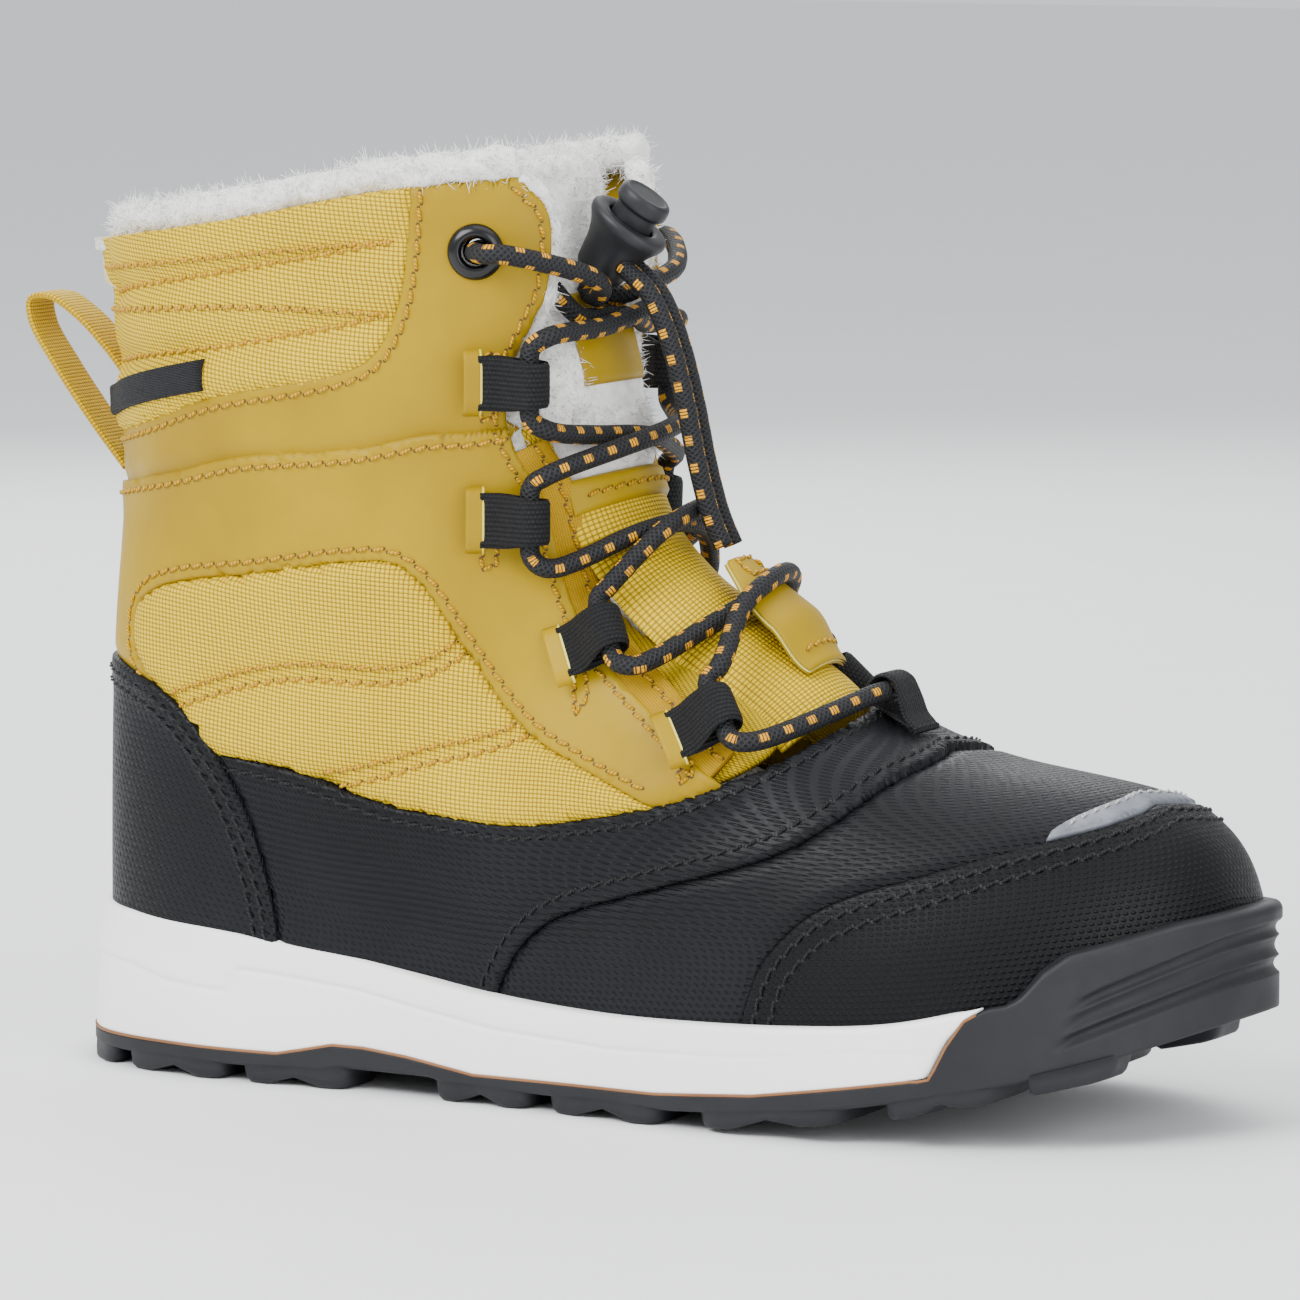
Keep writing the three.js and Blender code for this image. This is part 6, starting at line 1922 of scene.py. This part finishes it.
def add_toggle():
    """The cord lock: its body, the button and the spring."""
    outside = [[0.02, -6.4], [4.2, -6.4], [5.0, -5.6], [5.5, -2.5], [5.8, -0.4], [6.6, 1.9], [7.6, 3.6],
               [8.35, 4.7], [8.35, 6.0], [7.6, 6.6], [5.35, 6.6], [4.95, 6.0], [4.95, -4.4], [0.02, -4.6]]
    points, faces = lathe_shape(rounded_profile(outside, 0.32), 72)
    # the mouth where the cords come out, low on the front
    x, y, z = points[:, 0], points[:, 1], points[:, 2]
    away = np.sqrt((y / 4.9) ** 2 + ((z + 2.4) / 2.6) ** 2)
    deep = (1 - smoothstep(away, 0.55, 1.05)) * (x > 2) * (np.hypot(x, y) > 4.96)
    points[:, 0] -= deep * (x - 4.98) * 0.9 * (x > 4.98)
    piece = make_piece("toggle_body", on_toggle(points), faces, "toggle", "toggle")
    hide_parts("toggle_housing")
    cap = 6.6 + 2.5 + 0.3
    button = [[0.02, -1.6], [4.5, -1.6], [4.5, cap - 0.1], [5.4, cap], [5.4, cap + 2.3], [4.9, cap + 3.1],
              [4.2, cap + 3.2], [3.9, cap + 2.95], [0.02, cap + 2.9]]
    points, faces = lathe_shape(rounded_profile(button, 0.32), 64)
    piece = make_piece("toggle_button_cap", on_toggle(points), faces, "toggle", "toggle_button")
    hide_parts("toggle_button")
    turns = np.linspace(0, 2.5 * math.tau, 80)
    low, high = -4.6 + 0.65, -1.6 - 0.65
    coil = np.stack([2.6 * np.cos(turns), 2.6 * np.sin(turns), low + (high - low) * turns / turns[-1]], -1)
    points, faces, uv = tube_shape(coil, 0.35, 8)
    piece = welded(make_piece("toggle_coil", on_toggle(points), faces, "steel", "toggle", uv))
    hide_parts("toggle_spring")


def add_eyelets():
    """The flanged eyelets and their backing washers."""
    ring = [[2.62, -3.0], [2.62, 0.7], [2.75, 1.2], [3.2, 1.58], [3.8, 1.62], [4.5, 1.3], [5.1, 0.75],
            [5.4, 0.15], [5.3, -0.1], [3.5, -0.1], [3.4, -5.2], [2.1, -5.2], [2.1, -4.4], [2.62, -4.0]]
    washer = [[3.7, -4.3], [5.4, -4.3], [5.4, -3.5], [3.7, -3.5]]
    for side, name in ((1, "lateral"), (-1, "medial")):
        one, two, three, place = eyelet_frame(side)
        for part, profile, material, node, slot in (
                ("eyelet_ring", ring, "eyelet", "eyelet", "black_plastic"),
                ("eyelet_back_ring", washer, "steel", "eyelet_washer", "steel")):
            line = even(np.array(profile + profile[:1], float), 0.3)
            sides = 48
            a = np.arange(sides) * math.tau / sides
            r, z = line[:-1, 0], line[:-1, 1]
            count = len(r)
            points = np.stack([np.outer(r, np.cos(a)), np.outer(r, np.sin(a)),
                               np.repeat(z[:, None], sides, 1)], -1)
            faces = [(k * sides + i, k * sides + (i + 1) % sides, ((k + 1) % count) * sides + (i + 1) % sides,
                      ((k + 1) % count) * sides + i) for k in range(count) for i in range(sides)]
            whole = points.reshape(-1, 3)
            put = place + whole[:, :1] * one + whole[:, 1:2] * two + whole[:, 2:] * three
            piece = make_piece(f"{part}_{name}", put, [face[::-1] for face in faces], material)
            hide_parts(f"{node}_{name}")


def add_pull_loop():
    """The webbing loop on the heel."""
    base = skin.at(1.0, 0.74)
    line = [[-1.2, -10], [-8.5, -1.5], [-17, 9.5], [-22.5, 18], [-22.8, 22.5], [-18.5, 23.2], [-12, 19.5],
            [-6, 14], [-1.2, 8.6]]
    path = even(cord_line(np.array([[base[0] + x, 0, base[2] + z] for x, z in line]), 10), 0.7)
    points, faces, uv = ribbon_shape(path, [0, 1, 0], 10, 1.4, 16)
    piece = make_piece("pull_loop_webbing", points, faces, "webbing_yellow", "pull_loop", uv)
    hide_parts("pull_loop")


def add_side_tag():
    """The folded tag in the collar's seam, without letters."""
    outline = [[0.985, 0.742], [0.985, 0.786], [0.853, 0.832], [0.853, 0.792]]
    runs = [Run(straight(a, b), "open") for a, b in zip(np.array(outline), np.roll(outline, -1, 0))]
    tag = Panel("side_tag_cloth", runs, "tag", 1.2, 0.0, swell=lambda chart, points: 2.6)
    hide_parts("side_tag")


def dress_hidden_parts():
    """Materials for the CAD's own pieces that stay: the stiff parts inside the boot."""
    for node, material in (("shank", "steel"), ("lasting_board", "board"), ("toe_puff", "board"),
                           ("heel_counter", "board")):
        thing = bpy.data.objects.get(node)
        if thing is not None:
            thing.data.materials.clear()
            thing.data.materials.append(materials[material])


def add_floor():
    mesh = bpy.data.meshes.new("floor")
    mesh.from_pydata([(-6, -6, 0), (6, -6, 0), (6, 6, 0), (-6, 6, 0)], [], [(0, 1, 2, 3)])
    mesh.materials.append(materials["floor"])
    floor = bpy.data.objects.new("floor", mesh)
    bpy.context.scene.collection.objects.link(floor)
    floor.location.z = -0.0002


# ------------------------------------------------------------------ the making
materials = make_materials()
add_camera()
add_tails()
add_lace()
add_lights()
add_floor()
yellow, black, white = Shapes(), Shapes(), Shapes()
add_toe_and_guards(black, white)
add_quarters(yellow)
add_collar(yellow)
add_side_tag()
add_loops()
add_midsole()
add_outsole()
add_collar_fleece()
add_collar_foam()
add_lining()
add_footbed()
add_gussets(yellow)
tongue_thread = Shapes()
add_tongue(tongue_thread)
add_toggle()
add_eyelets()
add_pull_loop()
dress_hidden_parts()
yellow.piece("yellow_stitching", ["yellow_thread", "needle_hole_shade"])
tongue_thread.piece("tongue_stitching", ["yellow_thread", "needle_hole_shade"], "tongue")
black.piece("black_stitching", ["black_thread", "black_hole_shade"])
white.piece("white_stitching", ["white_thread"])
